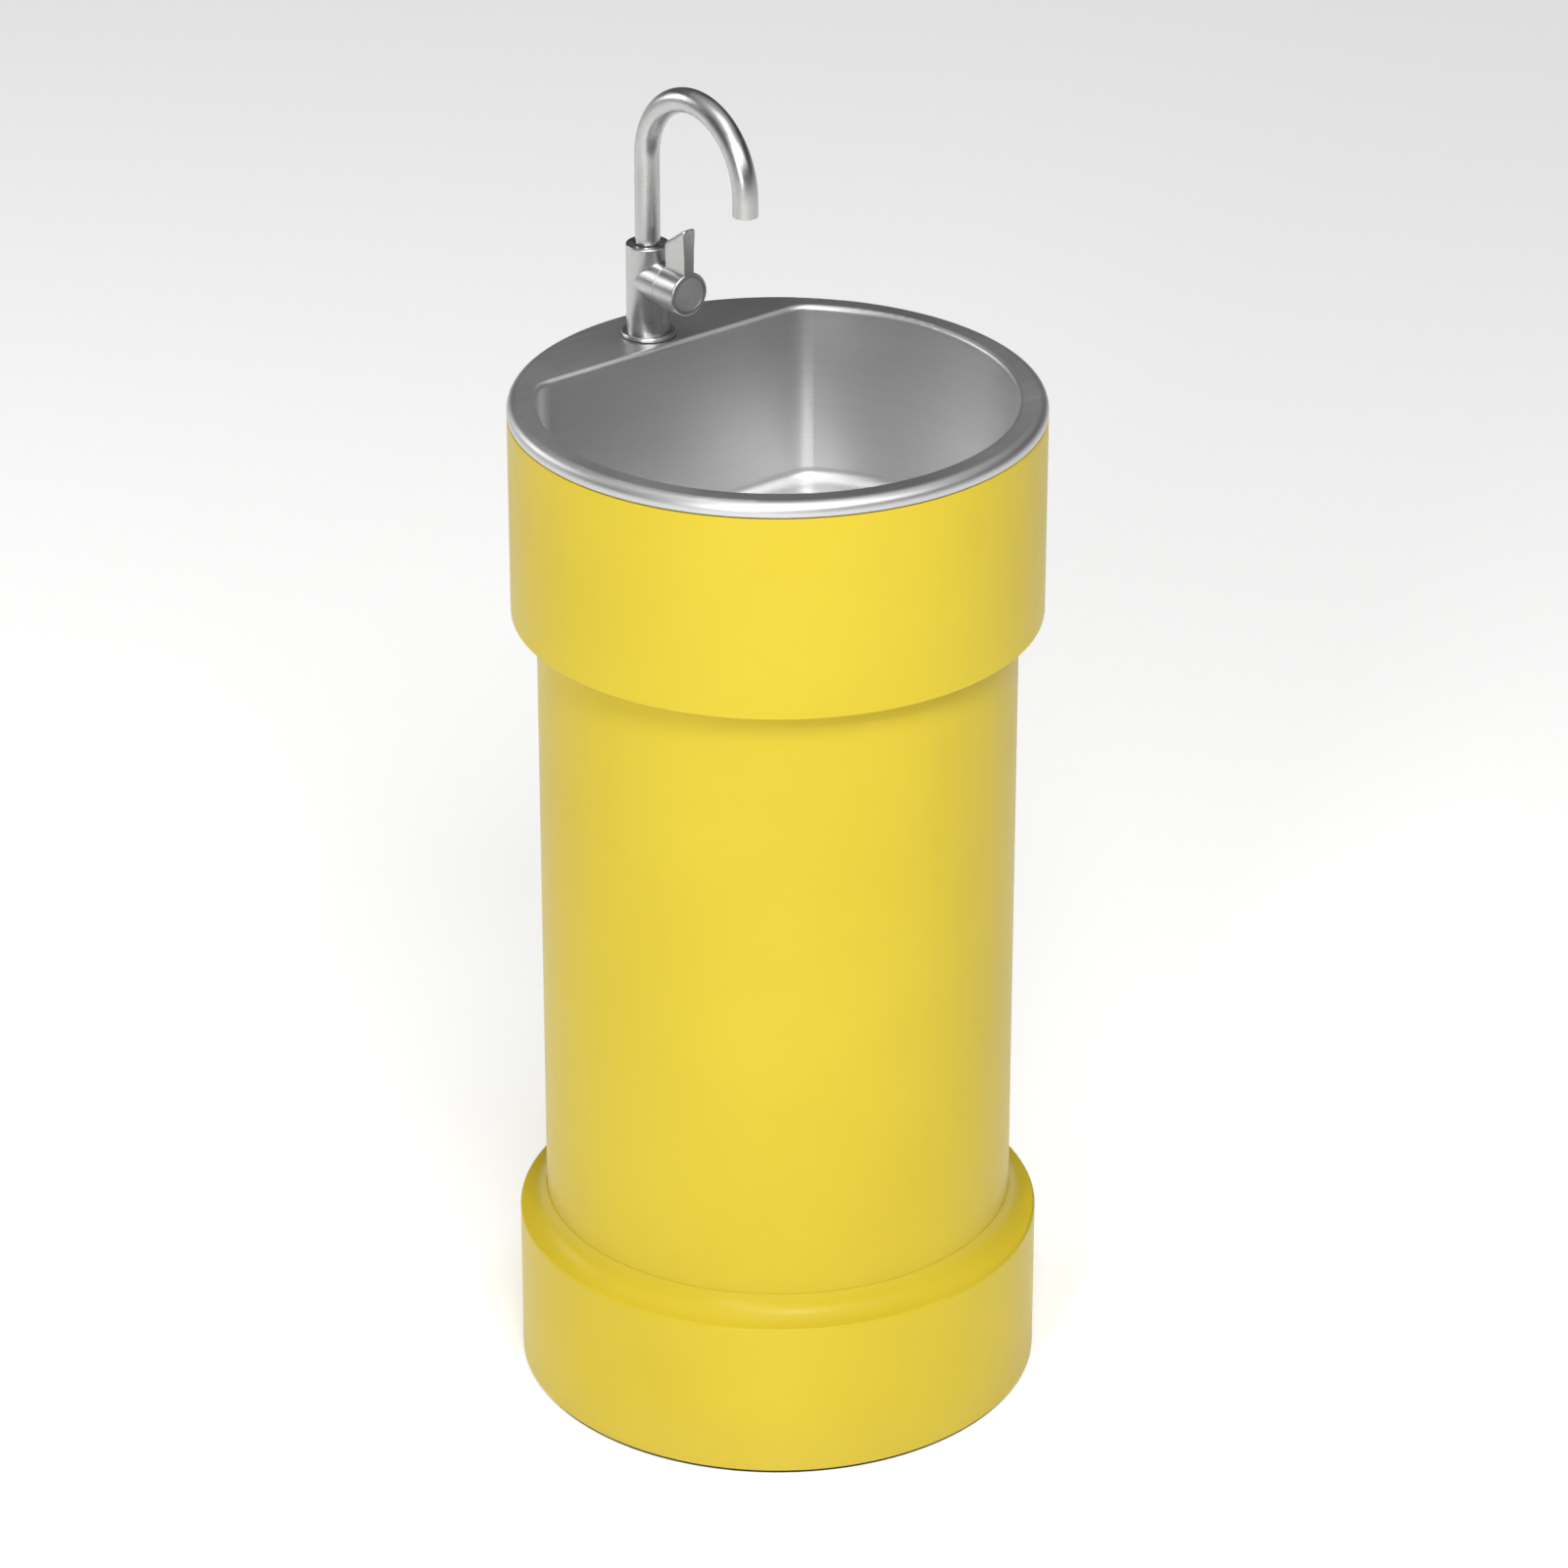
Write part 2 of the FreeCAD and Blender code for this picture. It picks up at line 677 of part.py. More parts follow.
def make_collar():
    outer = size.collar_radius
    inner = outer - size.collar_wall
    low = size.collar_bottom
    sleeve = size.column_radius + size.sleeve_gap
    body = new_body("collar_blank", blank=True)
    revolve(
        body,
        [
            (sleeve, low),
            (outer - 1, low, 1),
            (outer, low + 1),
            (outer, size.collar_top - 1.5, 1.5),
            (outer - 1.5, size.collar_top),
            (inner, size.collar_top),
            (inner, low + size.collar_wall),
            (sleeve + size.sleeve_wall, low + size.collar_wall),
            (sleeve + size.sleeve_wall, size.collar_sleeve),
            (sleeve, size.collar_sleeve),
        ],
    )
    for angle in CLIP_ANGLES:
        sketch = sketch_on(body, "XY_Plane", size.boss_low)
        reach = inner + 1
        corners = [
            boss_corner(size.boss_inner, -CLIP_HALF, angle),
            boss_corner(reach, -CLIP_HALF, angle),
            boss_corner(reach, CLIP_HALF, angle),
            boss_corner(size.boss_inner, CLIP_HALF, angle),
        ]
        outline(sketch, corners)
        boss = body.newObject("PartDesign::Pad", "ClipBoss")
        boss.Profile = sketch
        bind(boss, "Length", size.boss_high - size.boss_low)
        doc.recompute()
    drill_sides(body, size.collar_screw_level, SCREW_HOLE, inner - 3)
    pilots = []
    for i, spot in enumerate(radial_places(CLIP_SCREW_LEVEL, size.boss_inner, CLIP_ANGLES)):
        pilot = doc.addObject("Part::Cylinder", f"clip_pilot_{i}")
        pilot.Radius = SCREW_SHANK
        pilot.Height = 10
        pilot.Placement = spot
        pilots.append(pilot)
    keep("basin_collar", cut("basin_collar", body, *pilots))


def make_basin_clips():
    """Hooked clips: each is screwed to a boss and bears on the basin's turned-in hem."""
    outer = size.boss_inner
    inner = outer - 2
    hem_top = size.skirt_bottom + size.sheet_steel
    clips = []
    screws = []
    for i, angle in enumerate(CLIP_ANGLES):
        shape = [
            (inner, 798),
            (outer, 798),
            (outer, hem_top),
            (outer + 10, hem_top),
            (outer + 10, hem_top + 2),
            (inner, hem_top + 2),
        ]
        blank = prism_from(f"clip_blank_{i}", shape, 1 - CLIP_HALF, 2 * CLIP_HALF - 2, "XZ")
        hole = cylinder(f"clip_hole_{i}", SCREW_HOLE, 10, (190, 0, CLIP_SCREW_LEVEL), ((0, 1, 0), 90))
        clip = cut(f"clip_{i}", blank, hole)
        clip.Placement.Rotation = FreeCAD.Rotation(FreeCAD.Vector(0, 0, 1), angle)
        clips.append(clip)
    for i, spot in enumerate(radial_places(CLIP_SCREW_LEVEL, inner, CLIP_ANGLES, outward=False)):
        screws.append(button_screw(f"clip_screw_{i}", 4.6, 2.8, SCREW_SHANK, 11, 1.7, spot))
    group("basin_clips", clips)
    group("basin_clip_screws", screws)


# ---------------------------------------------------------------- basin and waste
def bowl_outline(grow):
    """The bowl's plan: a circle cut off by a straight back, with round corners between the two."""
    outer = size.bowl_radius + grow
    back = size.bowl_back + grow
    corner = size.bowl_corner + grow
    centre_x = root((outer - corner) * (outer - corner) - (back - corner) * (back - corner))
    stretch = outer / (outer - corner)
    side_x = centre_x * stretch
    side_y = (back - corner) * stretch
    return [
        (side_x, side_y, corner),
        (centre_x, back),
        (-centre_x, back, corner),
        (-side_x, side_y, outer),
        (0, -outer, outer),
    ]


def make_basin():
    top = size.rim_height
    sheet = size.sheet_steel
    under = top - sheet
    floor = top - size.bowl_depth
    roll = size.rim_radius - size.rim_crest
    rim = turned(
        "rim_blank",
        [
            (0, under),
            (size.rim_crest, under, sheet - roll),
            (size.rim_radius - sheet, top - roll),
            (size.rim_radius - sheet, size.skirt_bottom + sheet),
            (size.hem_inner, size.skirt_bottom + sheet),
            (size.hem_inner, size.skirt_bottom),
            (size.rim_radius, size.skirt_bottom),
            (size.rim_radius, top - roll, roll),
            (size.rim_crest, top),
            (0, top),
        ],
        blank=True,
    )
    outside = prism_from("bowl_outside", bowl_outline(sheet), floor - sheet, under - floor + sheet)
    outside = round_edges(
        "bowl_outside_round",
        outside,
        (size.bowl_floor_round + sheet).value,
        at_height(floor - sheet),
    )
    inside = prism_from("bowl_inside", bowl_outline(0), floor, size.bowl_depth + 10)
    inside = round_edges(
        "bowl_inside_round", inside, size.bowl_floor_round.value, at_height(floor)
    )

    def mouth_edge(level):
        level_edge = at_height(level)
        reach = size.rim_crest.value - 5
        return lambda edge: level_edge(edge) and edge.BoundBox.XMax < reach and edge.Length > 5

    joined = fuse("basin_joined", rim, outside)
    joined = round_edges(
        "basin_bend", joined, (size.mouth_round - sheet).value, mouth_edge(under)
    )
    hollow = cut("basin_hollow", joined, inside)
    hollow = round_edges("basin_mouth", hollow, size.mouth_round.value, mouth_edge(top))
    waste = cylinder("waste_cutter", size.waste_hole, 40, (0, size.waste_y, floor - 20))
    tap = cylinder("tap_cutter", size.tap_hole, 40, (0, size.tap_y, top - 20))
    keep("sink_basin", cut("sink_basin", hollow, waste, tap))


def make_rim_gasket():
    outer = size.collar_radius - 2.5
    inner = size.collar_radius - size.collar_wall - 2
    turned("rim_gasket", ring(inner, outer, size.collar_top, size.skirt_bottom))


def make_waste():
    """The basket waste: a flanged cup through the bowl's floor, its seals and its nut."""
    floor = size.rim_height - size.bowl_depth
    seat = floor + 1
    cup = size.cup_radius
    inner = cup - size.cup_wall
    tail_bore = size.tail_radius - 1.9
    ledge = size.cup_bottom + size.cup_wall
    turned(
        "waste_cup",
        [
            (tail_bore, size.tail_bottom),
            (size.tail_radius, size.tail_bottom),
            (size.tail_radius, size.cup_bottom),
            (cup - 4, size.cup_bottom, 4),
            (cup, size.cup_bottom + 4),
            (cup, seat),
            (size.waste_flange_radius, seat),
            (size.waste_flange_radius, seat + 0.6, 1.4),
            (size.waste_flange_radius - 1.4, seat + 2),
            (inner + 2, seat + 2, 2),
            (inner, seat),
            (inner, ledge),
            (tail_bore, ledge),
        ],
        y=size.waste_y,
    )
    under = floor - size.sheet_steel
    turned(
        "waste_flange_seal",
        ring(size.waste_hole + 0.5, size.waste_flange_radius - 1, floor, seat),
        y=size.waste_y,
    )
    turned("waste_under_seal", ring(cup + 0.5, cup + 15, under - 3, under), y=size.waste_y)
    nut = turned("waste_nut_blank", ring(cup + 0.05, cup + 12, under - 13, under - 3), blank=True)
    notches = [
        cylinder(
            f"waste_nut_notch_{i}",
            5,
            30,
            (
                (cup + 15) * math.cos(math.radians(60 * i)),
                (cup + 15) * math.sin(math.radians(60 * i)),
                under - 20,
            ),
        )
        for i in range(6)
    ]
    waste_nut = keep("waste_locknut", cut("waste_locknut", nut, *notches))
    place(waste_nut, y=size.waste_y)


BASKET_GAP = 0.5  # gap between the basket and the cup it hangs in


def make_basket():
    """The lift-out strainer basket, with slots round its wall and a knob to pull it by."""
    floor = size.rim_height - size.bowl_depth
    rim = size.cup_radius - size.cup_wall - BASKET_GAP
    low = size.cup_bottom + size.cup_wall + BASKET_GAP
    wall = rim - 5
    body = new_body("strainer_basket")
    revolve(
        body,
        [
            (0, low),
            (wall - 4, low, 4),
            (wall, low + 4),
            (wall, floor - 5),
            (rim, floor - 5),
            (rim, floor - 3.8),
            (wall - 1.2, floor - 3.8),
            (wall - 1.2, low + 4, -2.8),
            (wall - 4, low + 1.2),
            (0, low + 1.2),
        ],
    )
    sketch = sketch_on(body, "XZ_Plane")
    outline(sketch, rounded_rectangle(2.2, low + 8, floor - 10, 2))
    slot = cut_through(body, sketch, 160)
    repeat_round(body, slot, 6)
    for circle, count in ((12, 6), (21, 12)):
        sketch = sketch_on(body, "XY_Plane", low)
        disc(sketch, circle, 0, 2)
        repeat_round(body, cut_through(body, sketch, 10), count)
    revolve(
        body,
        [
            (0, low + 0.6),
            (3, low + 0.6),
            (3, floor - 7),
            (7, floor - 5, 3),
            (7, floor - 1, 3),
            (4, floor + 2),
            (0, floor + 2),
        ],
    )
    place(body, y=size.waste_y)


# ---------------------------------------------------------------- trap and waste pipe
PIPE_INSERTION = 13  # how far the waste pipe reaches into the trap's outlet


def make_trap():
    pipe = size.pipe_radius
    bore = pipe - size.pipe_wall
    level = size.tail_bottom
    at = {"y": size.waste_y}
    turned("trap_inlet_washer", ring(bore + 0.5, size.tail_radius - 0.2, level - 2, level), **at)
    turned(
        "trap_inlet_pipe",
        [
            (bore, size.trap_bottom + 26),
            (pipe, size.trap_bottom + 26),
            (pipe, level - 4),
            (size.tail_radius - 0.4, level - 4),
            (size.tail_radius - 0.4, level - 2),
            (bore, level - 2),
        ],
        **at,
    )
    turned(
        "trap_inlet_nut",
        [
            (pipe + 0.3, level - 9),
            (size.tail_radius + 6, level - 9),
            (size.tail_radius + 6, level + 13),
            (size.tail_radius + 0.1, level + 13),
            (size.tail_radius + 0.1, level - 4),
            (pipe + 0.3, level - 4),
        ],
        **at,
    )
    outer = size.trap_radius
    inner = outer - size.trap_wall
    top = size.trap_top
    shell = turned(
        "trap_shell",
        [
            (0, size.trap_bottom),
            (outer, size.trap_bottom),
            (outer, top - 10, 10),
            (outer - 10, top),
            (pipe + 4, top),
            (pipe + 4, top + 13),
            (0, top + 13),
        ],
        blank=True,
    )
    port_at = (0, 0, size.trap_port_level)
    reach = size.trap_port_reach
    port = cylinder("trap_port", pipe + 3, reach, port_at, FORWARD)
    cavity = turned(
        "trap_cavity",
        [
            (0, size.trap_bottom - 1),
            (inner, size.trap_bottom - 1),
            (inner, top - 10, 7),
            (inner - 7, top - 3),
            (pipe + 0.05, top - 3),
            (pipe + 0.05, top + 14),
            (0, top + 14),
        ],
        blank=True,
    )
    port_bore = cylinder("trap_port_bore", bore, reach + 2, port_at, FORWARD)
    socket_at = (0, PIPE_INSERTION + 1 - reach, size.trap_port_level)
    socket = cylinder("trap_socket", pipe + 0.1, 20, socket_at, FORWARD)
    joined = fuse("trap_joined", shell, port)
    body = keep("trap_body", cut("trap_body", joined, cavity, port_bore, socket))
    place(body, **at)
    end = size.trap_bottom
    turned("trap_cup_seal", ring(inner, outer, end - 2, end), **at)
    turned(
        "trap_cup",
        [
            (0, end - 16),
            (outer - 3, end - 16, 6),
            (outer + 3, end - 10),
            (outer + 3, end + 18),
            (outer + 0.1, end + 18),
            (outer + 0.1, end - 2),
            (inner, end - 2),
            (inner, end - 13),
            (0, end - 13),
        ],
        **at,
    )
    port_place = {"y": size.waste_y, "z": size.trap_port_level, "turn": FORWARD}
    turned("trap_outlet_washer", ring(pipe + 0.1, pipe + 3, reach, reach + 2), **port_place)
    turned(
        "trap_outlet_nut",
        [
            (pipe + 3.1, reach - 12),
            (pipe + 9, reach - 12),
            (pipe + 9, reach + 8),
            (pipe + 0.3, reach + 8),
            (pipe + 0.3, reach + 2),
            (pipe + 3.1, reach + 2),
        ],
        **port_place,
    )


def make_drain_pipe():
    """The bent pipe from the trap to its 40 mm floor spigot, and the clip that steadies it."""
    bend = size.drain_bend
    level = size.trap_port_level
    start = size.waste_y - size.trap_port_reach + PIPE_INSERTION
    path = side_path(
        "drain_path",
        [
            (start, level),
            (size.drain_y + bend, level, bend),
            (size.drain_y, level - bend),
            (size.drain_y, size.drain_bottom),
        ],
    )
    outside = sweep("drain_outside", size.pipe_radius, path, (0, start, level), FORWARD)
    bore = size.pipe_radius - size.pipe_wall
    inside = sweep("drain_inside", bore, path, (0, start, level), FORWARD)
    foot = (0, size.drain_y, size.drain_bottom)
    spigot = cylinder("drain_spigot", size.spigot_radius, size.spigot_length, foot)
    spigot_bore = cylinder("spigot_bore", bore, size.spigot_length, foot)
    joined = fuse("drain_joined", outside, spigot)
    keep("drain_pipe", cut("drain_pipe", joined, inside, spigot_bore))
    low = size.clip_level
    band = cylinder("clip_band", size.pipe_radius + 2.5, 16, (0, size.drain_y, low))
    wall = -(size.column_radius - size.column_wall - 0.4)
    arm = box("clip_arm", 16, size.drain_y - wall - 12, 16, (-8, wall, low))
    hole = cylinder("clip_bore", size.pipe_radius + 0.05, 40, (0, size.drain_y, low - 10))
    keep("drain_clip", cut("drain_clip", fuse("clip_joined", band, arm), hole))


# ---------------------------------------------------------------- tap
DECK_SEAL = 1  # thickness of the seal under the tap's flange


def make_tap_foot():
    """The flange, seals, shank, plate and nut that hold the tap to the deck."""
    deck = size.rim_height
    under = deck - size.sheet_steel
    at = {"y": size.tap_y}
    shank = size.shank_radius
    turned("tap_base_seal", ring(shank + 0.3, size.tap_flange_radius - 0.6, deck, deck + DECK_SEAL), **at)
    low = deck + DECK_SEAL
    flange = size.tap_flange_radius
    bore = size.tap_body_radius + 0.05
    turned(
        "tap_flange",
        [
            (bore, low),
            (flange, low),
            (flange, low + 1, 2),
            (flange - 2, low + 3),
            (bore, low + 3),
        ],
        **at,
    )
    turned("tap_shank", ring(8.5, shank, deck - size.shank_length, low + 7), **at)
    turned("shank_washer", ring(shank + 0.2, 24, under - 2, under), **at)
    turned("backing_plate", ring(shank + 0.2, 23.5, under - 4, under - 2), **at)
    nut = hexagon("shank_nut_bar", 18, 10, under - 14)
    hole = cylinder("shank_nut_bore", shank + 0.05, 30, (0, 0, under - 20))
    place(keep("shank_nut", cut("shank_nut", nut, hole)), **at)


def make_tap_body():
    low = size.rim_height + DECK_SEAL
    top = size.rim_height + size.tap_body_height
    level = size.rim_height + size.branch_level
    barrel = turned(
        "tap_barrel",
        [
            (0, low),
            (size.tap_body_radius, low),
            (size.tap_body_radius, top - 1.2, 1.2),
            (size.tap_body_radius - 1.2, top),
            (0, top),
        ],
        blank=True,
    )
    branch = turned(
        "tap_branch",
        [
            (0, 0),
            (size.branch_radius, 0),
            (size.branch_radius, size.branch_reach - 0.8, 0.8),
            (size.branch_radius - 0.8, size.branch_reach),
            (0, size.branch_reach),
        ],
        blank=True,
        z=level,
        turn=FORWARD,
    )
    joined = fuse("tap_joined", barrel, branch)
    cutters = [
        cylinder("shank_socket", size.shank_radius + 0.05, 8, (0, 0, low - 1)),
        cylinder("nipple_socket", 5.05, 18, (0, 0, low)),
        cylinder("riser", 4, 40, (0, 0, low + 10)),
        cylinder("port", 4, 20, (0, 0, level), FORWARD),
        cylinder("cartridge_seat", 11, 30, (0, -12, level), FORWARD),
        cylinder("swivel_socket", 12, 30, (0, 0, top - 19)),
        cylinder("grub_hole", 2, 20, (0, 10, top - 9), ((1, 0, 0), -90)),
    ]
    place(keep("tap_body", cut("tap_body", joined, *cutters)), y=size.tap_y)


def make_spout():
    """The gooseneck, the bush and seals that it turns in, and the flow former in its end."""
    top = size.rim_height + size.tap_body_height
    low = top - 16
    start = size.rim_height + size.spout_rise
    arc = size.spout_arc
    front = size.tap_y - arc * 2
    path = side_path(
        "spout_path",
        [
            (size.tap_y, low),
            (size.tap_y, start, arc),
            (size.tap_y - arc, start + arc, arc),
            (front, start),
            (front, start - size.spout_tail),
        ],
    )
    foot = (0, size.tap_y, low)
    outside = sweep("spout_outside", size.spout_radius, path, foot)
    inside = sweep("spout_inside", size.spout_bore, path, foot)
    groove = turned(
        "spout_groove",
        ring(size.spout_radius - 0.7, size.spout_radius + 2, top - 11.5, top - 6.5),
        blank=True,
        y=size.tap_y,
    )
    keep("spout_tube", cut("spout_tube", outside, inside, groove))
    fit = size.spout_radius + 0.06
    bush = turned("bush_blank", ring(fit, 11.95, top - 18.8, top - 2.2), blank=True)
    grooves = [
        turned(f"ring_groove_{i}", ring(fit - 1, fit + 1.5, level, level + 2), blank=True)
        for i, level in enumerate((top - 15, top - 5.5))
    ]
    hole = cylinder("bush_hole", 2.1, 20, (0, 5, top - 9), ((1, 0, 0), -90))
    place(keep("swivel_bush", cut("swivel_bush", bush, *grooves, hole)), y=size.tap_y)
    rings = [
        turned(f"seal_ring_{i}", ring(fit, fit + 1.45, level + 0.1, level + 1.9), blank=True, y=size.tap_y)
        for i, level in enumerate((top - 15, top - 5.5))
    ]
    group("spout_seal_rings", rings)
    grub = cylinder("grub_shank", 1.95, 7.4, (0, 9.6, top - 9), ((1, 0, 0), -90))
    socket = hexagon("grub_socket", 1, 3)
    socket.Placement = FreeCAD.Placement(
        FreeCAD.Vector(0, 15, top.value - 9), FreeCAD.Rotation(FreeCAD.Vector(1, 0, 0), -90)
    )
    place(keep("spout_grub_screw", cut("spout_grub_screw", grub, socket)), y=size.tap_y)
    outlet = start - size.spout_tail
    bore = size.spout_bore
    turned("aerator_housing", ring(bore - 1, bore - 0.02, outlet + 0.4, outlet + 12), y=front)
    insert = new_body("aerator_insert")
    revolve(insert, [(0, outlet + 2), (bore - 1.05, outlet + 2), (bore - 1.05, outlet + 5), (0, outlet + 5)])
    for radius, count in ((2.2, 6), (4.8, 12)):
        sketch = sketch_on(insert, "XY_Plane")
        disc(sketch, radius, 0, 0.7)
        repeat_round(insert, cut_through(insert, sketch), count)
    place(insert, y=front)


def make_lever_valve():
    """The quarter-turn valve in the side branch, and the lever that turns it."""
    where = {"y": size.tap_y, "z": size.rim_height + size.branch_level, "turn": FORWARD}
    stem = 4
    seat = dim(12.5)
    nose = size.branch_reach - 2.9
    turned(
        "valve_cartridge",
        [
            (8.5, seat),
            (10.95, seat),
            (10.95, nose),
            (stem + 0.06, nose),
            (stem + 0.06, nose - 4),
            (8.5, nose - 4),
        ],
        **where,
    )
    turned("cartridge_nut", ring(stem + 0.5, 10.95, nose, size.branch_reach - 0.6), **where)
    fixed = new_body("fixed_disc")
    revolve(fixed, [(0, seat), (8.45, seat), (8.45, seat + 2.2), (0, seat + 2.2)])
    moving = new_body("moving_disc")
    revolve(moving, [(0, seat + 2.5), (8.2, seat + 2.5), (8.2, seat + 4.7), (0, seat + 4.7)])
    for body in (fixed, moving):
        sketch = sketch_on(body, "XY_Plane")
        disc(sketch, 0, 4.2, 2.2)
        cut_through(body, sketch)
        place(body, **where)
    tip = size.hub_start + 13
    turned(
        "valve_spindle",
        [
            (0, seat + 4.7),
            (8.1, seat + 4.7),
            (8.1, nose - 4.3),
            (stem, nose - 4.3),
            (stem, tip),
            (1.5, tip),
            (1.5, tip - 10),
            (0, tip - 10),
        ],
        **where,
    )
    hub = size.hub_radius
    start = size.hub_start
    end = size.hub_end
    hub_blank = turned(
        "hub_blank",
        [
            (0, start),
            (hub, start),
            (hub, end - 1.6, 1.6),
            (hub - 1.6, end),
            (0, end),
        ],
        blank=True,
    )
    reach = size.lever_reach
    blade_face = prism_from(
        "blade_face",
        [(-4.7, 8), (4.7, 8), (5.2, 34), (6.7, reach + 4), (-6.7, reach + 4), (-5.2, 34)],
        start,
        end - start,
    )
    blade_side = prism_from(
        "blade_side",
        [(0, start - 1), (reach - size.lever_slope, start - 1), (reach, end + 1), (0, end + 1)],
        -20,
        40,
        "YZ",
    )
    blade = common("blade_blank", blade_face, blade_side)
    blade = round_edges(
        "blade_top",
        blade,
        3,
        lambda edge: edge.Length > 20 and min(v.Y for v in edge.Vertexes) > 36,
    )
    blade = round_edges(
        "blade_round",
        blade,
        1.2,
        lambda edge: edge.CenterOfMass.y > 12 and edge.BoundBox.ZLength < 0.1,
    )
    joined = fuse("lever_joined", blade, hub_blank)
    cutters = [
        cylinder("lever_stem_bore", stem + 0.02, 30, (0, 0, start - 5)),
        cylinder("lever_screw_bore", 5, 30, (0, 0, tip + 0.5)),
        cylinder("lever_cap_seat", hub - 3.6, 5, (0, 0, end - 1.8)),
    ]
    place(keep("lever_handle", cut("lever_handle", joined, *cutters)), **where)
    cap = hub - 3.65
    turned(
        "lever_cap",
        [(0, end - 1.8), (cap, end - 1.8), (cap, end - 0.9, 0.4), (cap - 0.4, end - 0.5), (0, end - 0.5)],
        **where,
    )
    head = cylinder("lever_screw_head", 4.3, 3, (0, 0, tip + 0.5))
    shank = cylinder("lever_screw_shank", 1.5, 9, (0, 0, tip - 8.5))
    slot = hexagon("lever_screw_socket", 1.5, 3, tip + 2)
    screw = cut("lever_screw", fuse("lever_screw_blank", head, shank), slot)
    place(keep("lever_screw", screw), **where)


# ---------------------------------------------------------------- water supply
VALVE_LEVEL = 118  # height of the stop valve's ball
SHELF = 90  # height of the bracket's shelf
OUTLET_STEP = 0.5  # how much thinner the stop valve's outlet is than its inlet
HOSE_ROUTE = [(162.5, 846), (162.5, 700), (153, 570), (128, 440), (115, 310), (115, 170)]  # (y, z)


def hose_wire(points):
    """Straight runs joined by tangent arcs, each as large as its two runs allow."""
    points = [FreeCAD.Vector(0, y, z) for y, z in points]
    edges = []
    radii = []
    last = points[0]
    for before, corner, after in zip(points, points[1:], points[2:]):
        back = before - corner
        ahead = after - corner
        half_turn = (math.pi - back.getAngle(ahead)) / 2
        setback = 0.45 * min(back.Length, ahead.Length)
        radii.append(setback / math.tan(half_turn))
        start = corner + back * (setback / back.Length)
        end = corner + ahead * (setback / ahead.Length)
        inward = (back.normalize() + ahead.normalize()).normalize()
        dip = radii[-1] / math.cos(half_turn) - radii[-1]
        edges.append(Part.LineSegment(last, start).toShape())
        edges.append(Part.Arc(start, corner + inward * dip, end).toShape())
        last = end
    edges.append(Part.LineSegment(last, points[-1]).toShape())
    return Part.Wire(edges), radii


def make_hose():
    """The braided hose from the stop valve to the tap, its two crimped sleeves, its nut and its nipple."""
    wire, radii = hose_wire(HOSE_ROUTE)
    path = doc.addObject("Part::Feature", "hose_path")
    path.Shape = wire
    start = (0, HOSE_ROUTE[0][0], HOSE_ROUTE[0][1])
    outside = sweep("hose_outside", size.hose_radius, path, start)
    inside = sweep("hose_inside", 4, path, start)
    hose = keep("supply_hose", cut("supply_hose", outside, inside))
    section = math.pi * (size.hose_radius.value**2 - 16)
    print("hose length", round(wire.Length, 1), "bend radii", [round(r) for r in radii])
    print("hose volume / section x length", round(hose.Shape.Volume / (section * wire.Length), 4))
    sleeve = ring(size.hose_radius + 0.02, size.hose_radius + 1.3, 0, 20)
    sleeves = [
        turned(f"hose_sleeve_{i}", sleeve, blank=True, y=y, z=z)
        for i, (y, z) in enumerate(((HOSE_ROUTE[0][0], 825), (HOSE_ROUTE[-1][0], 173)))
    ]
    group("hose_sleeves", sleeves)
    bottom = size.rim_height + DECK_SEAL
    turned(
        "hose_nipple",
        [
            (3, 846),
            (7, 846),
            (7, 850),
            (5, 850),
            (5, bottom + 16),
            (3, bottom + 16),
        ],
        y=size.tap_y,
    )
    low = size.valve_top - 14
    bar = hexagon("hose_nut_bar", 12, 18, low)
    thread = cylinder("hose_nut_thread", size.inlet_radius - OUTLET_STEP + 0.05, 40, (0, 0, low - 24))
    tail = cylinder("hose_nut_tail", size.hose_radius + 0.05, 40, (0, 0, low - 5))
    place(keep("hose_nut", cut("hose_nut", bar, thread, tail)), y=size.valve_y)


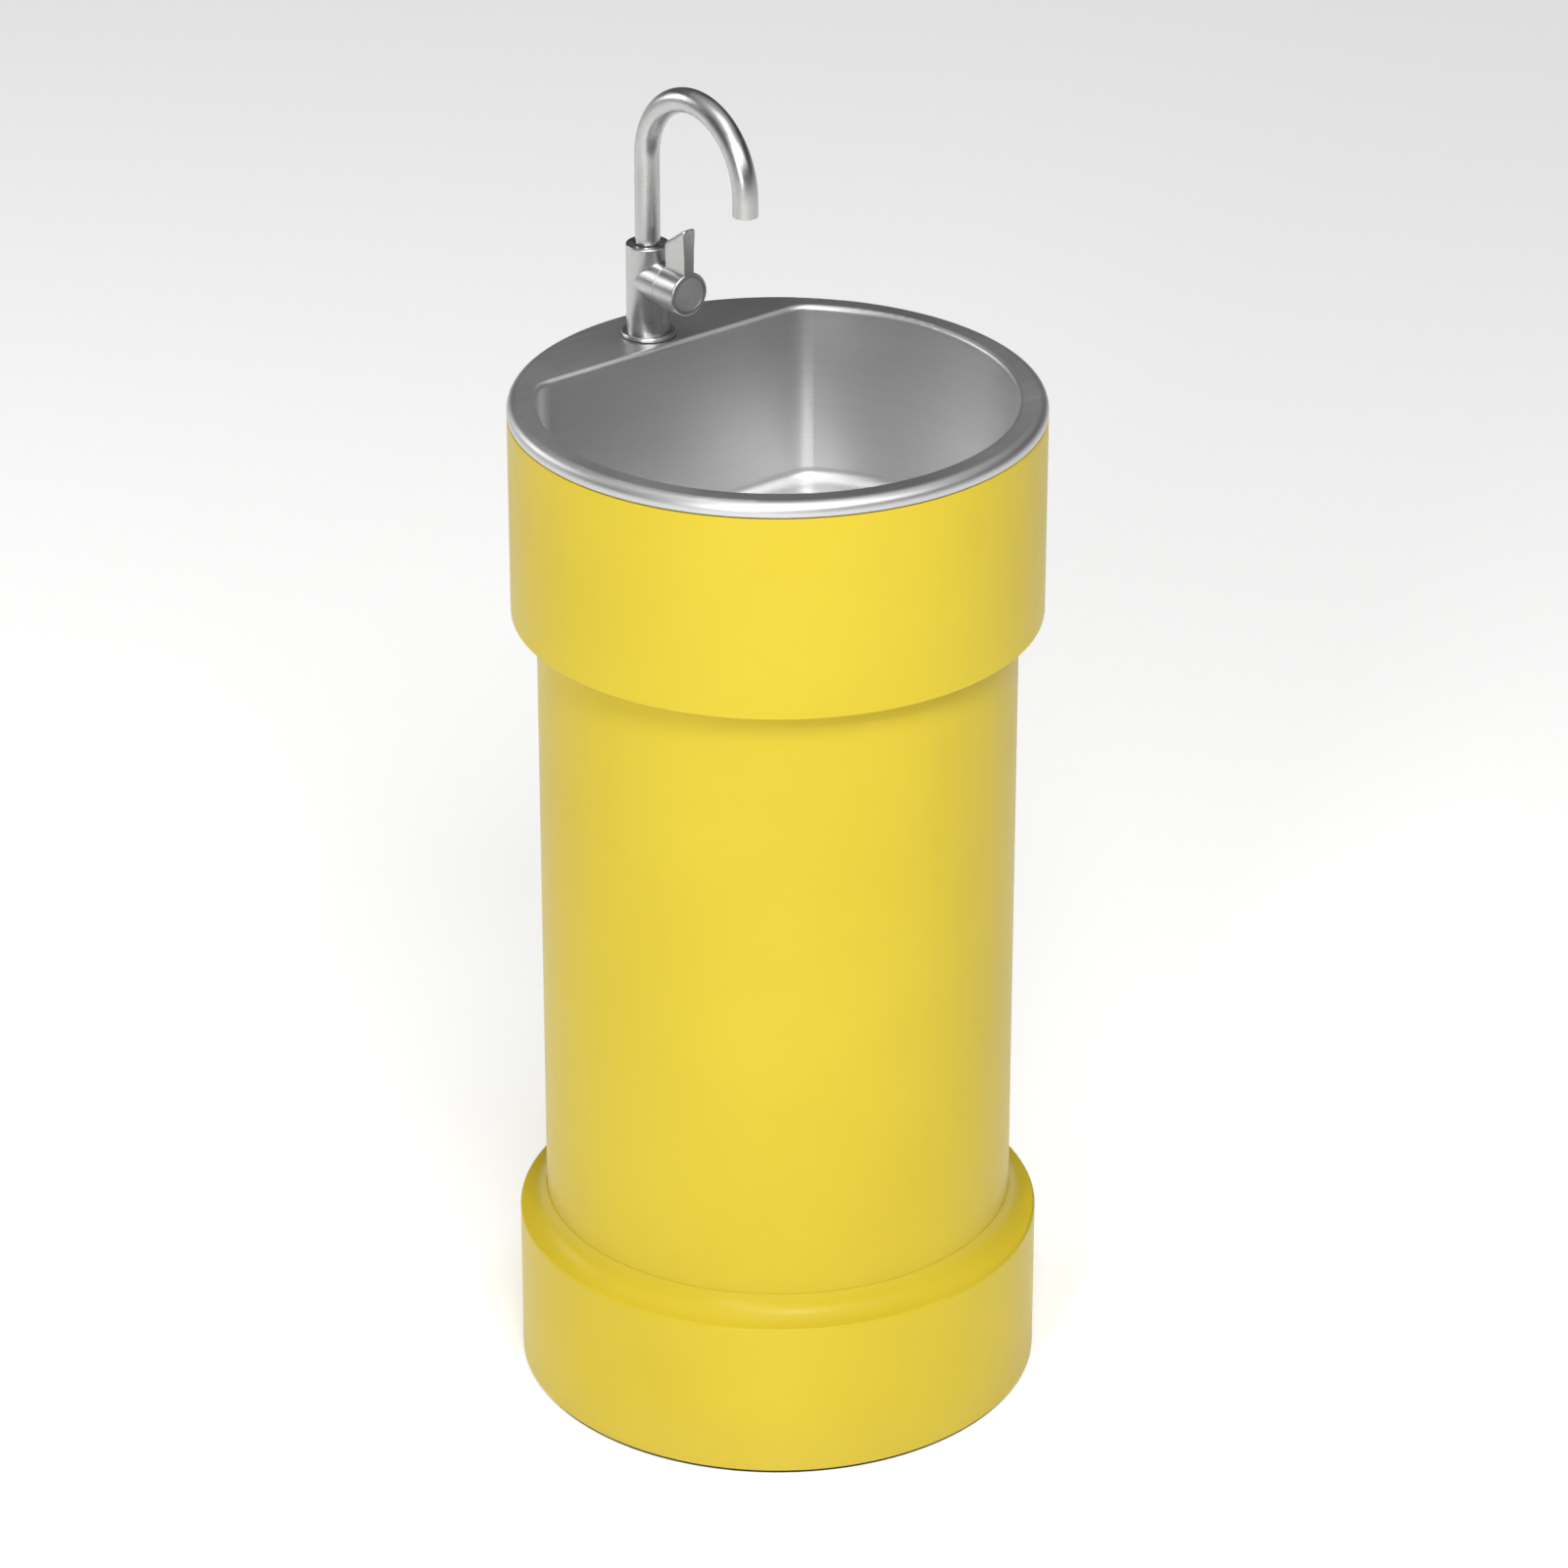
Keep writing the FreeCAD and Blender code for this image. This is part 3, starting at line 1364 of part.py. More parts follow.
def make_stop_valve():
    outlet = size.inlet_radius - OUTLET_STEP
    at = {"y": size.valve_y}
    backward = ((1, 0, 0), -90)
    barrel = turned(
        "valve_barrel",
        [
            (7.5, size.inlet_bottom),
            (size.inlet_radius, size.inlet_bottom),
            (size.inlet_radius, SHELF - 10),
            (size.valve_neck, SHELF - 10),
            (size.valve_neck, SHELF),
            (15.5, SHELF),
            (15.5, SHELF + 8),
            (18, SHELF + 11),
            (18, VALVE_LEVEL + 17),
            (15.5, VALVE_LEVEL + 20),
            (15.5, VALVE_LEVEL + 28),
            (outlet, VALVE_LEVEL + 28),
            (outlet, size.valve_top),
            (7.5, size.valve_top),
        ],
        blank=True,
    )
    boss = cylinder("valve_boss", 9, 25, (0, 0, VALVE_LEVEL), backward)
    joined = fuse("valve_joined", barrel, boss)
    hollow = primitive("Part::Sphere", "valve_hollow", None, (0, 0, VALVE_LEVEL), Radius=12.3)
    flow = cylinder("valve_flow", 7.5, 120, (0, 0, 55))
    stem_hole = cylinder("valve_stem_hole", 4.06, 40, (0, 0, VALVE_LEVEL), backward)
    place(keep("stop_valve_body", cut("stop_valve_body", joined, hollow, flow, stem_hole)), **at)
    ball = primitive("Part::Sphere", "ball_blank", None, (0, 0, VALVE_LEVEL), Radius=12)
    bore = cylinder("ball_bore", 7, 40, (0, 0, VALVE_LEVEL - 20))
    place(keep("stop_valve_ball", cut("stop_valve_ball", ball, bore)), **at)
    stem = cylinder("stem_bar", 4, 24, (0, 10.5, VALVE_LEVEL), backward)
    around = primitive("Part::Sphere", "stem_end", None, (0, 0, VALVE_LEVEL), Radius=12)
    place(keep("stop_valve_stem", cut("stop_valve_stem", stem, around)), **at)
    arm = prism_from(
        "handle_arm",
        rounded_rectangle(7.5, VALVE_LEVEL - 10, VALVE_LEVEL + 72, 7),
        26.5,
        3,
        "XZ",
    )
    hub = cylinder("handle_hub", 8, 5, (0, 26.5, VALVE_LEVEL), backward)
    hole = cylinder("handle_bore", 4.02, 60, (0, 0, VALVE_LEVEL), backward)
    handle = cut("stop_valve_handle", fuse("handle_joined", arm, hub), hole)
    place(keep("stop_valve_handle", handle), **at)


def make_valve_bracket():
    """A bracket that stands on the floor ring and holds the stop valve by its neck, and the nut under it."""
    low = size.pad_height + size.foot_flange + size.ring_plate
    half = 22
    wall = size.valve_y + 31
    section = [
        (wall, low),
        (wall + 28, low),
        (wall + 28, low + 3),
        (wall + 3, low + 3),
        (wall + 3, SHELF),
        (size.valve_y - 20, SHELF),
        (size.valve_y - 20, SHELF - 3),
        (wall, SHELF - 3),
    ]
    blank = prism_from("bracket_blank", section, -half, 2 * half, "YZ")
    hole = cylinder("bracket_hole", size.valve_neck + 0.1, 20, (0, size.valve_y, SHELF - 10))
    keep("stop_valve_bracket", cut("stop_valve_bracket", blank, hole))
    bar = hexagon("bracket_nut_bar", 14.5, 7, SHELF - 10)
    bore = cylinder("bracket_nut_bore", size.valve_neck + 0.05, 30, (0, 0, SHELF - 20))
    place(keep("bracket_nut", cut("bracket_nut", bar, bore)), y=size.valve_y)


# ---------------------------------------------------------------- build and write
def build():
    make_foot_ring()
    make_plinth()
    make_floor_ring()
    make_column()
    screw_seat = size.column_radius - size.column_wall - 0.08
    sides = (0, 90, 180, 270)
    wall_screws("plinth_screws", size.plinth_screw_level, screw_seat, 13, sides)
    make_collar()
    wall_screws("collar_screws", size.collar_screw_level, screw_seat, 13, sides)
    make_service_door()
    make_basin()
    make_rim_gasket()
    make_basin_clips()
    make_waste()
    make_basket()
    make_trap()
    make_drain_pipe()
    make_tap_foot()
    make_tap_body()
    make_spout()
    make_lever_valve()
    make_hose()
    make_stop_valve()
    make_valve_bracket()


def check():
    """Stops with a plain message if any object failed or any sub-part isn't a sound shape."""
    doc.recompute()
    faults = [o.Name for o in doc.Objects if "Invalid" in o.State or "Error" in o.State]
    for label, piece in made.items():
        shape = piece.Shape
        if shape.isNull() or not shape.isValid() or shape.Volume < 1:
            faults.append(label)
    if faults:
        raise RuntimeError(f"failed: {', '.join(faults)}")


def write():
    os.makedirs(NODES, exist_ok=True)
    for label, piece in made.items():
        piece.Shape.exportStep(f"{NODES}/{label}.step")
    print(len(made), "nodes written")


build()
check()
write()
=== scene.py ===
import json
import math

import bpy
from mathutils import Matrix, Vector


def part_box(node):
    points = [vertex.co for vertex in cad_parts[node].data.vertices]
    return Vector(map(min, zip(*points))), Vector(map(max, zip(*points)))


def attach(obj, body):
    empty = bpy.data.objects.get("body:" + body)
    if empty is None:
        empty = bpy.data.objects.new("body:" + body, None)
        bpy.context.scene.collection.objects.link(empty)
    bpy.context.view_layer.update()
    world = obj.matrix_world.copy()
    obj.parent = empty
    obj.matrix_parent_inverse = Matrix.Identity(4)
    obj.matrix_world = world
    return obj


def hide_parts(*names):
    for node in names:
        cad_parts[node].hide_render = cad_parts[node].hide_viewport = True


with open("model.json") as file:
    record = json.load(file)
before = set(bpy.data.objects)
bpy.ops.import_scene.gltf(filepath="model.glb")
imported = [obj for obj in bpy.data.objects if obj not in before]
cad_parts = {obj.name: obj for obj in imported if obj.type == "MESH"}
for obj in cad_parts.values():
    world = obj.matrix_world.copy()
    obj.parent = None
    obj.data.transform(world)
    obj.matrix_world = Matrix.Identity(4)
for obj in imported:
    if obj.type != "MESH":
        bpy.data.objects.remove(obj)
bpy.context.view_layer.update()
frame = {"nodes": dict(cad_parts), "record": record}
nodes = frame["nodes"]

MM = 0.001

# Linear colours of the powder coat, its darker mottling and the dust on it.
COAT_YELLOW = (0.648, 0.502, 0.034)
COAT_SHADE = (0.618, 0.470, 0.029)
COAT_DUST = (0.480, 0.380, 0.110)

# The supply hose runs in the plane x = 0, from the tap down to the stop valve: (y, z) in mm.
HOSE_ROUTE = [(162.5, 846), (162.5, 700), (153, 570), (128, 440), (115, 310), (115, 170)]
HOSE_RADIUS = 6 * MM
ARC_SHARE = 0.45  # how much of the shorter run a corner's arc takes up
BRAID_STEP = 0.8 * MM
BRAID_SIDES = 48
BRAID_DEPTH = 0.7 * MM
BRAID_PITCH = 30 * MM
BRAID_STRANDS = 8

# Threads: the radius they are cut on, their pitch, and how far a crest stands proud of that radius.
THREAD_SIDES = 36
THREAD_PROUD = 0.25 * MM
THREAD_PROFILE = ((-1, 0.42), (1, 0.08), (1, -0.08), (-1, -0.42))  # (root or crest, height in pitches)
INLET_RADIUS = 10.48 * MM
INLET_PITCH = 1.814 * MM
INLET_THREAD = (1.5 * MM, 16.5 * MM)  # start and end above the valve's lowest point
SHANK_PITCH = 1.5 * MM
SHANK_THREAD = (1.5 * MM, 0.5 * MM)  # gaps at the shank's end and below the nut
BALL_RADIUS = 12 * MM


# ---------------------------------------------------------------- material graph
class Paint:
    """One material: a Principled shader and the nodes that feed it."""

    def __init__(self, name, **constants):
        self.material = bpy.data.materials.new(name)
        self.material.use_nodes = True
        self.tree = self.material.node_tree
        self.tree.nodes.clear()
        output = self.node("ShaderNodeOutputMaterial")
        self.shader = self.node("ShaderNodeBsdfPrincipled")
        self.put(output.inputs["Surface"], self.shader.outputs["BSDF"])
        for socket, value in constants.items():
            self.shader.inputs[socket.replace("_", " ")].default_value = value
        self.position = self.node("ShaderNodeNewGeometry").outputs["Position"]

    def node(self, kind, **settings):
        """A new node of this kind."""
        made = self.tree.nodes.new(kind)
        for key, value in settings.items():
            setattr(made, key, value)
        return made

    def put(self, socket, value):
        """Links an output to the socket, or sets the socket to a plain value."""
        if hasattr(value, "is_linked"):
            self.tree.links.new(value, socket)
        else:
            socket.default_value = value

    def sum(self, operation, a, b=0.0):
        """A Math node's result."""
        made = self.node("ShaderNodeMath", operation=operation)
        self.put(made.inputs[0], a)
        self.put(made.inputs[1], b)
        return made.outputs[0]

    def vector(self, operation, a, b=(0, 0, 0)):
        """A Vector Math node's result: a number for LENGTH, otherwise a vector."""
        made = self.node("ShaderNodeVectorMath", operation=operation)
        self.put(made.inputs[0], a)
        self.put(made.inputs[1], b)
        return made.outputs["Value" if operation == "LENGTH" else "Vector"]

    def split(self, vector):
        """The three parts of a vector or colour."""
        made = self.node("ShaderNodeSeparateXYZ")
        self.put(made.inputs[0], vector)
        return made.outputs

    def join(self, x, y, z):
        """A vector from three numbers."""
        made = self.node("ShaderNodeCombineXYZ")
        for socket, value in zip(made.inputs, (x, y, z)):
            self.put(socket, value)
        return made.outputs[0]

    def noise(self, vector, scale, detail=2.0, roughness=0.5):
        """Noise between 0 and 1, mostly near 0.5."""
        made = self.node("ShaderNodeTexNoise")
        self.put(made.inputs["Vector"], vector)
        made.inputs["Scale"].default_value = scale
        made.inputs["Detail"].default_value = detail
        made.inputs["Roughness"].default_value = roughness
        return made.outputs["Fac"]

    def stretched(self, factors, detail, roughness=0.5):
        """Noise whose scale differs along x, y and z."""
        return self.noise(self.vector("MULTIPLY", self.position, factors), 1.0, detail, roughness)

    def ranged(self, value, low, high, start=0.0, end=1.0):
        """Maps value from start..end to low..high, clamped."""
        made = self.node("ShaderNodeMapRange")
        self.put(made.inputs["Value"], value)
        for key, number in (("From Min", start), ("From Max", end), ("To Min", low), ("To Max", high)):
            made.inputs[key].default_value = number
        return made.outputs[0]

    def around(self, value, low, high):
        """Maps the middle of a noise, 0.3 to 0.7, to low..high."""
        return self.ranged(value, low, high, 0.3, 0.7)

    def mask(self, value, start, end):
        """Rises from 0 at start to 1 at end."""
        return self.ranged(value, 0.0, 1.0, start, end)

    def blend(self, factor, first, second):
        """A colour between first, at factor 0, and second, at factor 1."""
        made = self.node("ShaderNodeMix", data_type="RGBA")
        self.put(made.inputs["Factor"], factor)
        self.put(made.inputs["A"], (*first, 1) if isinstance(first, tuple) else first)
        self.put(made.inputs["B"], (*second, 1) if isinstance(second, tuple) else second)
        return made.outputs["Result"]

    def bumps(self, *layers):
        """Stacks bumps: each layer is (height, depth in metres)."""
        normal = None
        for height, depth in layers:
            made = self.node("ShaderNodeBump")
            made.inputs["Distance"].default_value = depth
            self.put(made.inputs["Height"], height)
            if normal is not None:
                self.put(made.inputs["Normal"], normal)
            normal = made.outputs["Normal"]
        self.put(self.shader.inputs["Normal"], normal)

    def finish(self, color, roughness):
        """Gives the shader its colour and roughness, and returns the material."""
        self.put(self.shader.inputs["Base Color"], color)
        self.put(self.shader.inputs["Roughness"], roughness)
        return self.material


def yellow_coat():
    """Yellow powder coat: faint mottling, fine orange peel, satin streaks and dust near the floor."""
    paint = Paint("yellow_coat", Coat_Weight=0.04, Coat_Roughness=0.28, Specular_IOR_Level=0.16)
    mottle = paint.noise(paint.position, scale=5.0, detail=4.0)
    color = paint.blend(paint.mask(mottle, 0.35, 0.65), COAT_SHADE, COAT_YELLOW)
    height = paint.split(paint.position)[2]
    fleck = paint.noise(paint.position, scale=700.0, detail=3.0)
    grains = paint.ranged(fleck, 0.2, 1.0, 0.45, 0.7)
    low_down = paint.ranged(height, 0.45, 0.0, 0.0, 0.06)
    dust = paint.sum("MULTIPLY", low_down, grains)
    color = paint.blend(dust, color, COAT_DUST)
    streaked = paint.vector("MULTIPLY", paint.position, (40, 40, 9))
    scuff = paint.noise(streaked, scale=6.0, detail=5.0, roughness=0.7)
    satin = paint.ranged(scuff, 0.32, 0.42, 0.35, 0.75)
    roughness = paint.sum("ADD", satin, paint.sum("MULTIPLY", dust, 0.3))
    peel = paint.noise(paint.position, scale=420.0)
    waves = paint.noise(paint.position, scale=30.0)
    paint.bumps((waves, 0.16 * MM), (peel, 0.02 * MM))
    return paint.finish(color, roughness)


def sheet_steel():
    """Satin pressed stainless sheet, brushed along X on its level faces and round the bowl on its walls."""
    paint = Paint("sheet_steel", Metallic=1.0, Anisotropic=0.25)
    x, y, z = paint.split(paint.position)
    turn = paint.sum("MULTIPLY", paint.sum("ARCTAN2", y, x), 2.0)
    across = paint.sum("MULTIPLY", paint.vector("LENGTH", paint.join(x, y, 0.0)), 60)
    walls = paint.join(turn, across, paint.sum("MULTIPLY", z, 2200))
    level = paint.vector("MULTIPLY", paint.position, (9, 2200, 60))
    facing = paint.split(paint.node("ShaderNodeNewGeometry").outputs["True Normal"])[2]
    lines = paint.node("ShaderNodeMix", data_type="FLOAT")
    paint.put(lines.inputs["Factor"], paint.mask(paint.sum("ABSOLUTE", facing), 0.55, 0.85))
    paint.put(lines.inputs["A"], paint.noise(walls, scale=1.0, detail=3.0, roughness=0.7))
    paint.put(lines.inputs["B"], paint.noise(level, scale=1.0, detail=3.0, roughness=0.7))
    line = lines.outputs["Result"]
    smears = paint.noise(paint.position, scale=12.0, detail=4.0, roughness=0.6)
    shade = paint.sum("ADD", paint.sum("MULTIPLY", line, 0.75), paint.sum("MULTIPLY", smears, 0.25))
    color = paint.blend(paint.mask(shade, 0.35, 0.65), (0.60, 0.60, 0.602), (0.68, 0.68, 0.682))
    roughness = paint.sum("ADD", paint.around(line, 0.40, 0.47), paint.around(smears, -0.01, 0.02))
    paint.bumps((line, 0.004 * MM), (smears, 0.01 * MM))
    return paint.finish(color, roughness)


def turned_steel(name, tone, rough):
    """Steel polished on a lathe or a belt: fine rings and faint smears."""
    paint = Paint(name, Metallic=1.0, Anisotropic=0.3)
    rings = paint.stretched((60, 60, 1800), detail=3.0, roughness=0.7)
    smears = paint.noise(paint.position, scale=55.0, detail=4.0, roughness=0.6)
    darker = tuple(part * 0.90 for part in tone)
    color = paint.blend(paint.mask(smears, 0.35, 0.65), darker, tone)
    satin = paint.around(rings, rough - 0.03, rough + 0.05)
    roughness = paint.sum("ADD", satin, paint.around(smears, -0.02, 0.04))
    paint.bumps((rings, 0.006 * MM), (smears, 0.03 * MM))
    return paint.finish(color, roughness)


def zinc_steel():
    """Zinc-plated steel: cloudy grey with a faint spangle."""
    paint = Paint("zinc_steel", Metallic=1.0)
    spangle = paint.node("ShaderNodeTexVoronoi")
    paint.put(spangle.inputs["Vector"], paint.position)
    spangle.inputs["Scale"].default_value = 260.0
    cell = paint.split(spangle.outputs["Color"])[0]
    cloud = paint.noise(paint.position, scale=40.0, detail=4.0)
    color = paint.blend(cell, (0.44, 0.46, 0.49), (0.55, 0.57, 0.60))
    color = paint.blend(paint.ranged(cloud, 0.0, 0.5, 0.4, 0.8), color, (0.62, 0.62, 0.60))
    paint.bumps((cloud, 0.03 * MM))
    return paint.finish(color, paint.ranged(cell, 0.34, 0.48))


def brass():
    """Machined brass with fine rings and patches of tarnish."""
    paint = Paint("brass", Metallic=1.0)
    rings = paint.stretched((50, 50, 2400), detail=3.0, roughness=0.7)
    tarnish = paint.noise(paint.position, scale=90.0, detail=5.0, roughness=0.65)
    patches = paint.ranged(tarnish, 0.0, 0.8, 0.45, 0.75)
    color = paint.blend(patches, (0.72, 0.55, 0.25), (0.42, 0.29, 0.12))
    paint.bumps((rings, 0.01 * MM), (tarnish, 0.02 * MM))
    return paint.finish(color, paint.around(tarnish, 0.22, 0.46))


def rubber():
    """Black rubber: matt, with a fine grain and a grey bloom."""
    paint = Paint("black_rubber", Specular_IOR_Level=0.35)
    grain = paint.noise(paint.position, scale=1600.0, detail=3.0, roughness=0.6)
    bloom = paint.noise(paint.position, scale=30.0, detail=4.0)
    color = paint.blend(paint.mask(bloom, 0.35, 0.7), (0.018, 0.018, 0.018), (0.045, 0.044, 0.042))
    paint.bumps((grain, 0.03 * MM))
    return paint.finish(color, paint.around(grain, 0.62, 0.82))


def plastic(name, dark, light, rough):
    """Moulded plastic: faint flow marks and a fine spark-eroded grain."""
    paint = Paint(name, Specular_IOR_Level=0.45)
    grain = paint.noise(paint.position, scale=1400.0)
    flow = paint.stretched((14, 14, 50), detail=4.0)
    color = paint.blend(paint.mask(flow, 0.3, 0.7), dark, light)
    paint.bumps((grain, 0.02 * MM), (flow, 0.06 * MM))
    return paint.finish(color, paint.around(grain, rough - 0.05, rough + 0.08))


def ceramic():
    """Lapped ceramic: bright, smooth, with faint specks."""
    paint = Paint("ceramic", Coat_Weight=0.5, Coat_Roughness=0.05)
    specks = paint.noise(paint.position, scale=2200.0)
    color = paint.blend(paint.mask(specks, 0.6, 0.75), (0.86, 0.85, 0.81), (0.60, 0.58, 0.54))
    paint.bumps((specks, 0.004 * MM))
    return paint.finish(color, paint.around(specks, 0.10, 0.20))


MATERIALS = {
    "yellow_coat": yellow_coat(),
    "stainless_sheet": sheet_steel(),
    "tap_steel": turned_steel("tap_steel", (0.56, 0.56, 0.555), 0.30),
    "tap_cap": turned_steel("tap_cap", (0.66, 0.66, 0.65), 0.42),
    "zinc_steel": zinc_steel(),
    "brass": brass(),
    "black_rubber": rubber(),
    "white_plastic": plastic("white_plastic", (0.66, 0.66, 0.63), (0.78, 0.78, 0.75), 0.42),
    "grey_plastic": plastic("grey_plastic", (0.12, 0.125, 0.13), (0.17, 0.175, 0.18), 0.5),
    "ceramic": ceramic(),
    "braided_hose": turned_steel("braided_hose", (0.55, 0.55, 0.54), 0.30),
}


def dress_nodes():
    """Gives every node that came from the frame its slot's material."""
    for subpart in frame["record"]["subparts"]:
        piece = nodes[subpart["node"]]
        piece.data.materials.clear()
        piece.data.materials.append(MATERIALS[subpart["material_slot"]])


# ---------------------------------------------------------------- stage
MIDDLE = Vector((0, 0, 0.55))
CAMERA = dict(distance=4.88322, elevation=26.373, azimuth=-38.994, height=0.51414)
LENS = dict(sensor_width=36, lens=140.487, shift_x=0.004, clip_end=50)
FLOOR = -0.3 * MM  # just below the foot ring, so that the two faces don't coincide
FLOOR_HALF = 12.0
SOFTBOXES = {  # azimuth and elevation in degrees, distance, width and height in metres, power in watts
    "key": (-56, 22, 3.6, 0.5, 1.9, 40),
    "front": (-30, 46, 3.8, 1.2, 1.2, 76),
    "side": (14, 42, 3.8, 0.9, 1.4, 14),
    "top": (-30, 80, 3.0, 1.6, 1.6, 16),
    "back": (208, 22, 3.8, 1.2, 1.6, 26),
}
SKY_STRENGTH = 0.55
SKY_TONES = ((0.0, 0.75), (1.0, 0.9), (0.04, 0.45), (0.10, 0.06), (0.58, 0.06), (0.80, 0.9))


def placed(name, data):
    """A new object with this data, in the scene."""
    made = bpy.data.objects.new(name, data)
    bpy.context.scene.collection.objects.link(made)
    return made


def look_from(azimuth, elevation):
    """The direction from the object to a viewer; azimuth 0 stands in front, at -Y."""
    a, e = math.radians(azimuth), math.radians(elevation)
    return Vector((math.sin(a) * math.cos(e), -math.cos(a) * math.cos(e), math.sin(e)))


def aim(thing, place, target):
    """Stands a camera or light at place and turns it to target."""
    thing.location = place
    thing.rotation_euler = (Vector(target) - Vector(place)).to_track_quat("-Z", "Y").to_euler()


def add_camera():
    """A long lens that looks down at the object from its front left."""
    data = bpy.data.cameras.new("camera")
    for key, value in LENS.items():
        setattr(data, key, value)
    camera = placed("camera", data)
    target = Vector((0, 0, CAMERA["height"]))
    place = target + look_from(CAMERA["azimuth"], CAMERA["elevation"]) * CAMERA["distance"]
    aim(camera, place, target)
    bpy.context.scene.camera = camera


def add_softbox(name, azimuth, elevation, distance, width, height, power):
    """A soft rectangular light that looks at the middle of the object."""
    data = bpy.data.lights.new(name, "AREA")
    data.shape = "RECTANGLE"
    data.size = width
    data.size_y = height
    data.energy = power
    aim(placed(name, data), MIDDLE + look_from(azimuth, elevation) * distance, MIDDLE)


def add_floor():
    """A plain pale floor that glows a little, so that it stays light round the object."""
    corners = [(-1, -1), (1, -1), (1, 1), (-1, 1)]
    mesh = bpy.data.meshes.new("floor")
    mesh.from_pydata([(x * FLOOR_HALF, y * FLOOR_HALF, FLOOR) for x, y in corners], [], [(0, 1, 2, 3)])
    floor = placed("floor", mesh)
    paint = Paint("floor", Emission_Color=(1, 1, 1, 1), Emission_Strength=0.36)
    fleck = paint.noise(paint.position, scale=60.0, detail=3.0)
    color = paint.blend(paint.mask(fleck, 0.3, 0.7), (0.86, 0.86, 0.855), (0.88, 0.88, 0.875))
    floor.data.materials.append(paint.finish(color, 0.85))


def add_world():
    """A studio sky: light at the horizon and below it, dark from 6 to 35 degrees up, bright overhead."""
    world = bpy.data.worlds.new("studio")
    bpy.context.scene.world = world
    world.use_nodes = True
    tree = world.node_tree
    sky = tree.nodes["Background"]
    direction = tree.nodes.new("ShaderNodeTexCoord").outputs["Generated"]
    split = tree.nodes.new("ShaderNodeSeparateXYZ")
    tree.links.new(direction, split.inputs[0])
    ramp = tree.nodes.new("ShaderNodeValToRGB")
    stops = ramp.color_ramp.elements
    for (position, tone), stop in zip(SKY_TONES, stops[:]):
        stop.position = position
        stop.color = (tone, tone, tone, 1)
    for position, tone in SKY_TONES[2:]:
        stops.new(position).color = (tone, tone, tone, 1)
    tree.links.new(split.outputs[2], ramp.inputs[0])
    tree.links.new(ramp.outputs[0], sky.inputs["Color"])
    sky.inputs["Strength"].default_value = SKY_STRENGTH


# ---------------------------------------------------------------- detail pieces
def mesh_piece(name, points, around, slot, body="pedestal"):
    """A closed, smooth tube through rings of points; it rides on a body and takes a slot's finish."""
    rings = len(points) // around
    last = (rings - 1) * around
    faces = [tuple(reversed(range(around))), tuple(range(last, last + around))]
    for ring in range(rings - 1):
        low, high = ring * around, (ring + 1) * around
        for j in range(around):
            k = (j + 1) % around
            faces.append((low + j, low + k, high + k, high + j))
    mesh = bpy.data.meshes.new(name)
    mesh.from_pydata(points, [], faces)
    mesh.validate()
    for face in mesh.polygons:
        face.use_smooth = True
    piece = placed(name, mesh)
    piece.data.materials.append(MATERIALS[slot])
    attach(piece, body)
    return piece


def hose_path(step):
    """Points along the hose: straight runs joined by tangent arcs, as large as the runs allow."""
    corners = [Vector((0, y * MM, z * MM)) for y, z in HOSE_ROUTE]
    points = [corners[0]]
    for before, corner, after in zip(corners, corners[1:], corners[2:]):
        back, ahead = before - corner, after - corner
        half_turn = (math.pi - back.angle(ahead)) / 2
        setback = ARC_SHARE * min(back.length, ahead.length)
        radius = setback / math.tan(half_turn)
        inward = (back.normalized() + ahead.normalized()).normalized()
        centre = corner + inward * (radius / math.cos(half_turn))
        start = (corner + back.normalized() * setback - centre).normalized()
        end = (corner + ahead.normalized() * setback - centre).normalized()
        count = max(2, round(start.angle(end) * radius / step))
        points += [centre + start.slerp(end, i / count) * radius for i in range(count + 1)]
    points.append(corners[-1])
    evened = [points[0]]
    for a, b in zip(points, points[1:]):
        count = max(1, round((b - a).length / step))
        evened += [a.lerp(b, i / count) for i in range(1, count + 1)]
    return evened


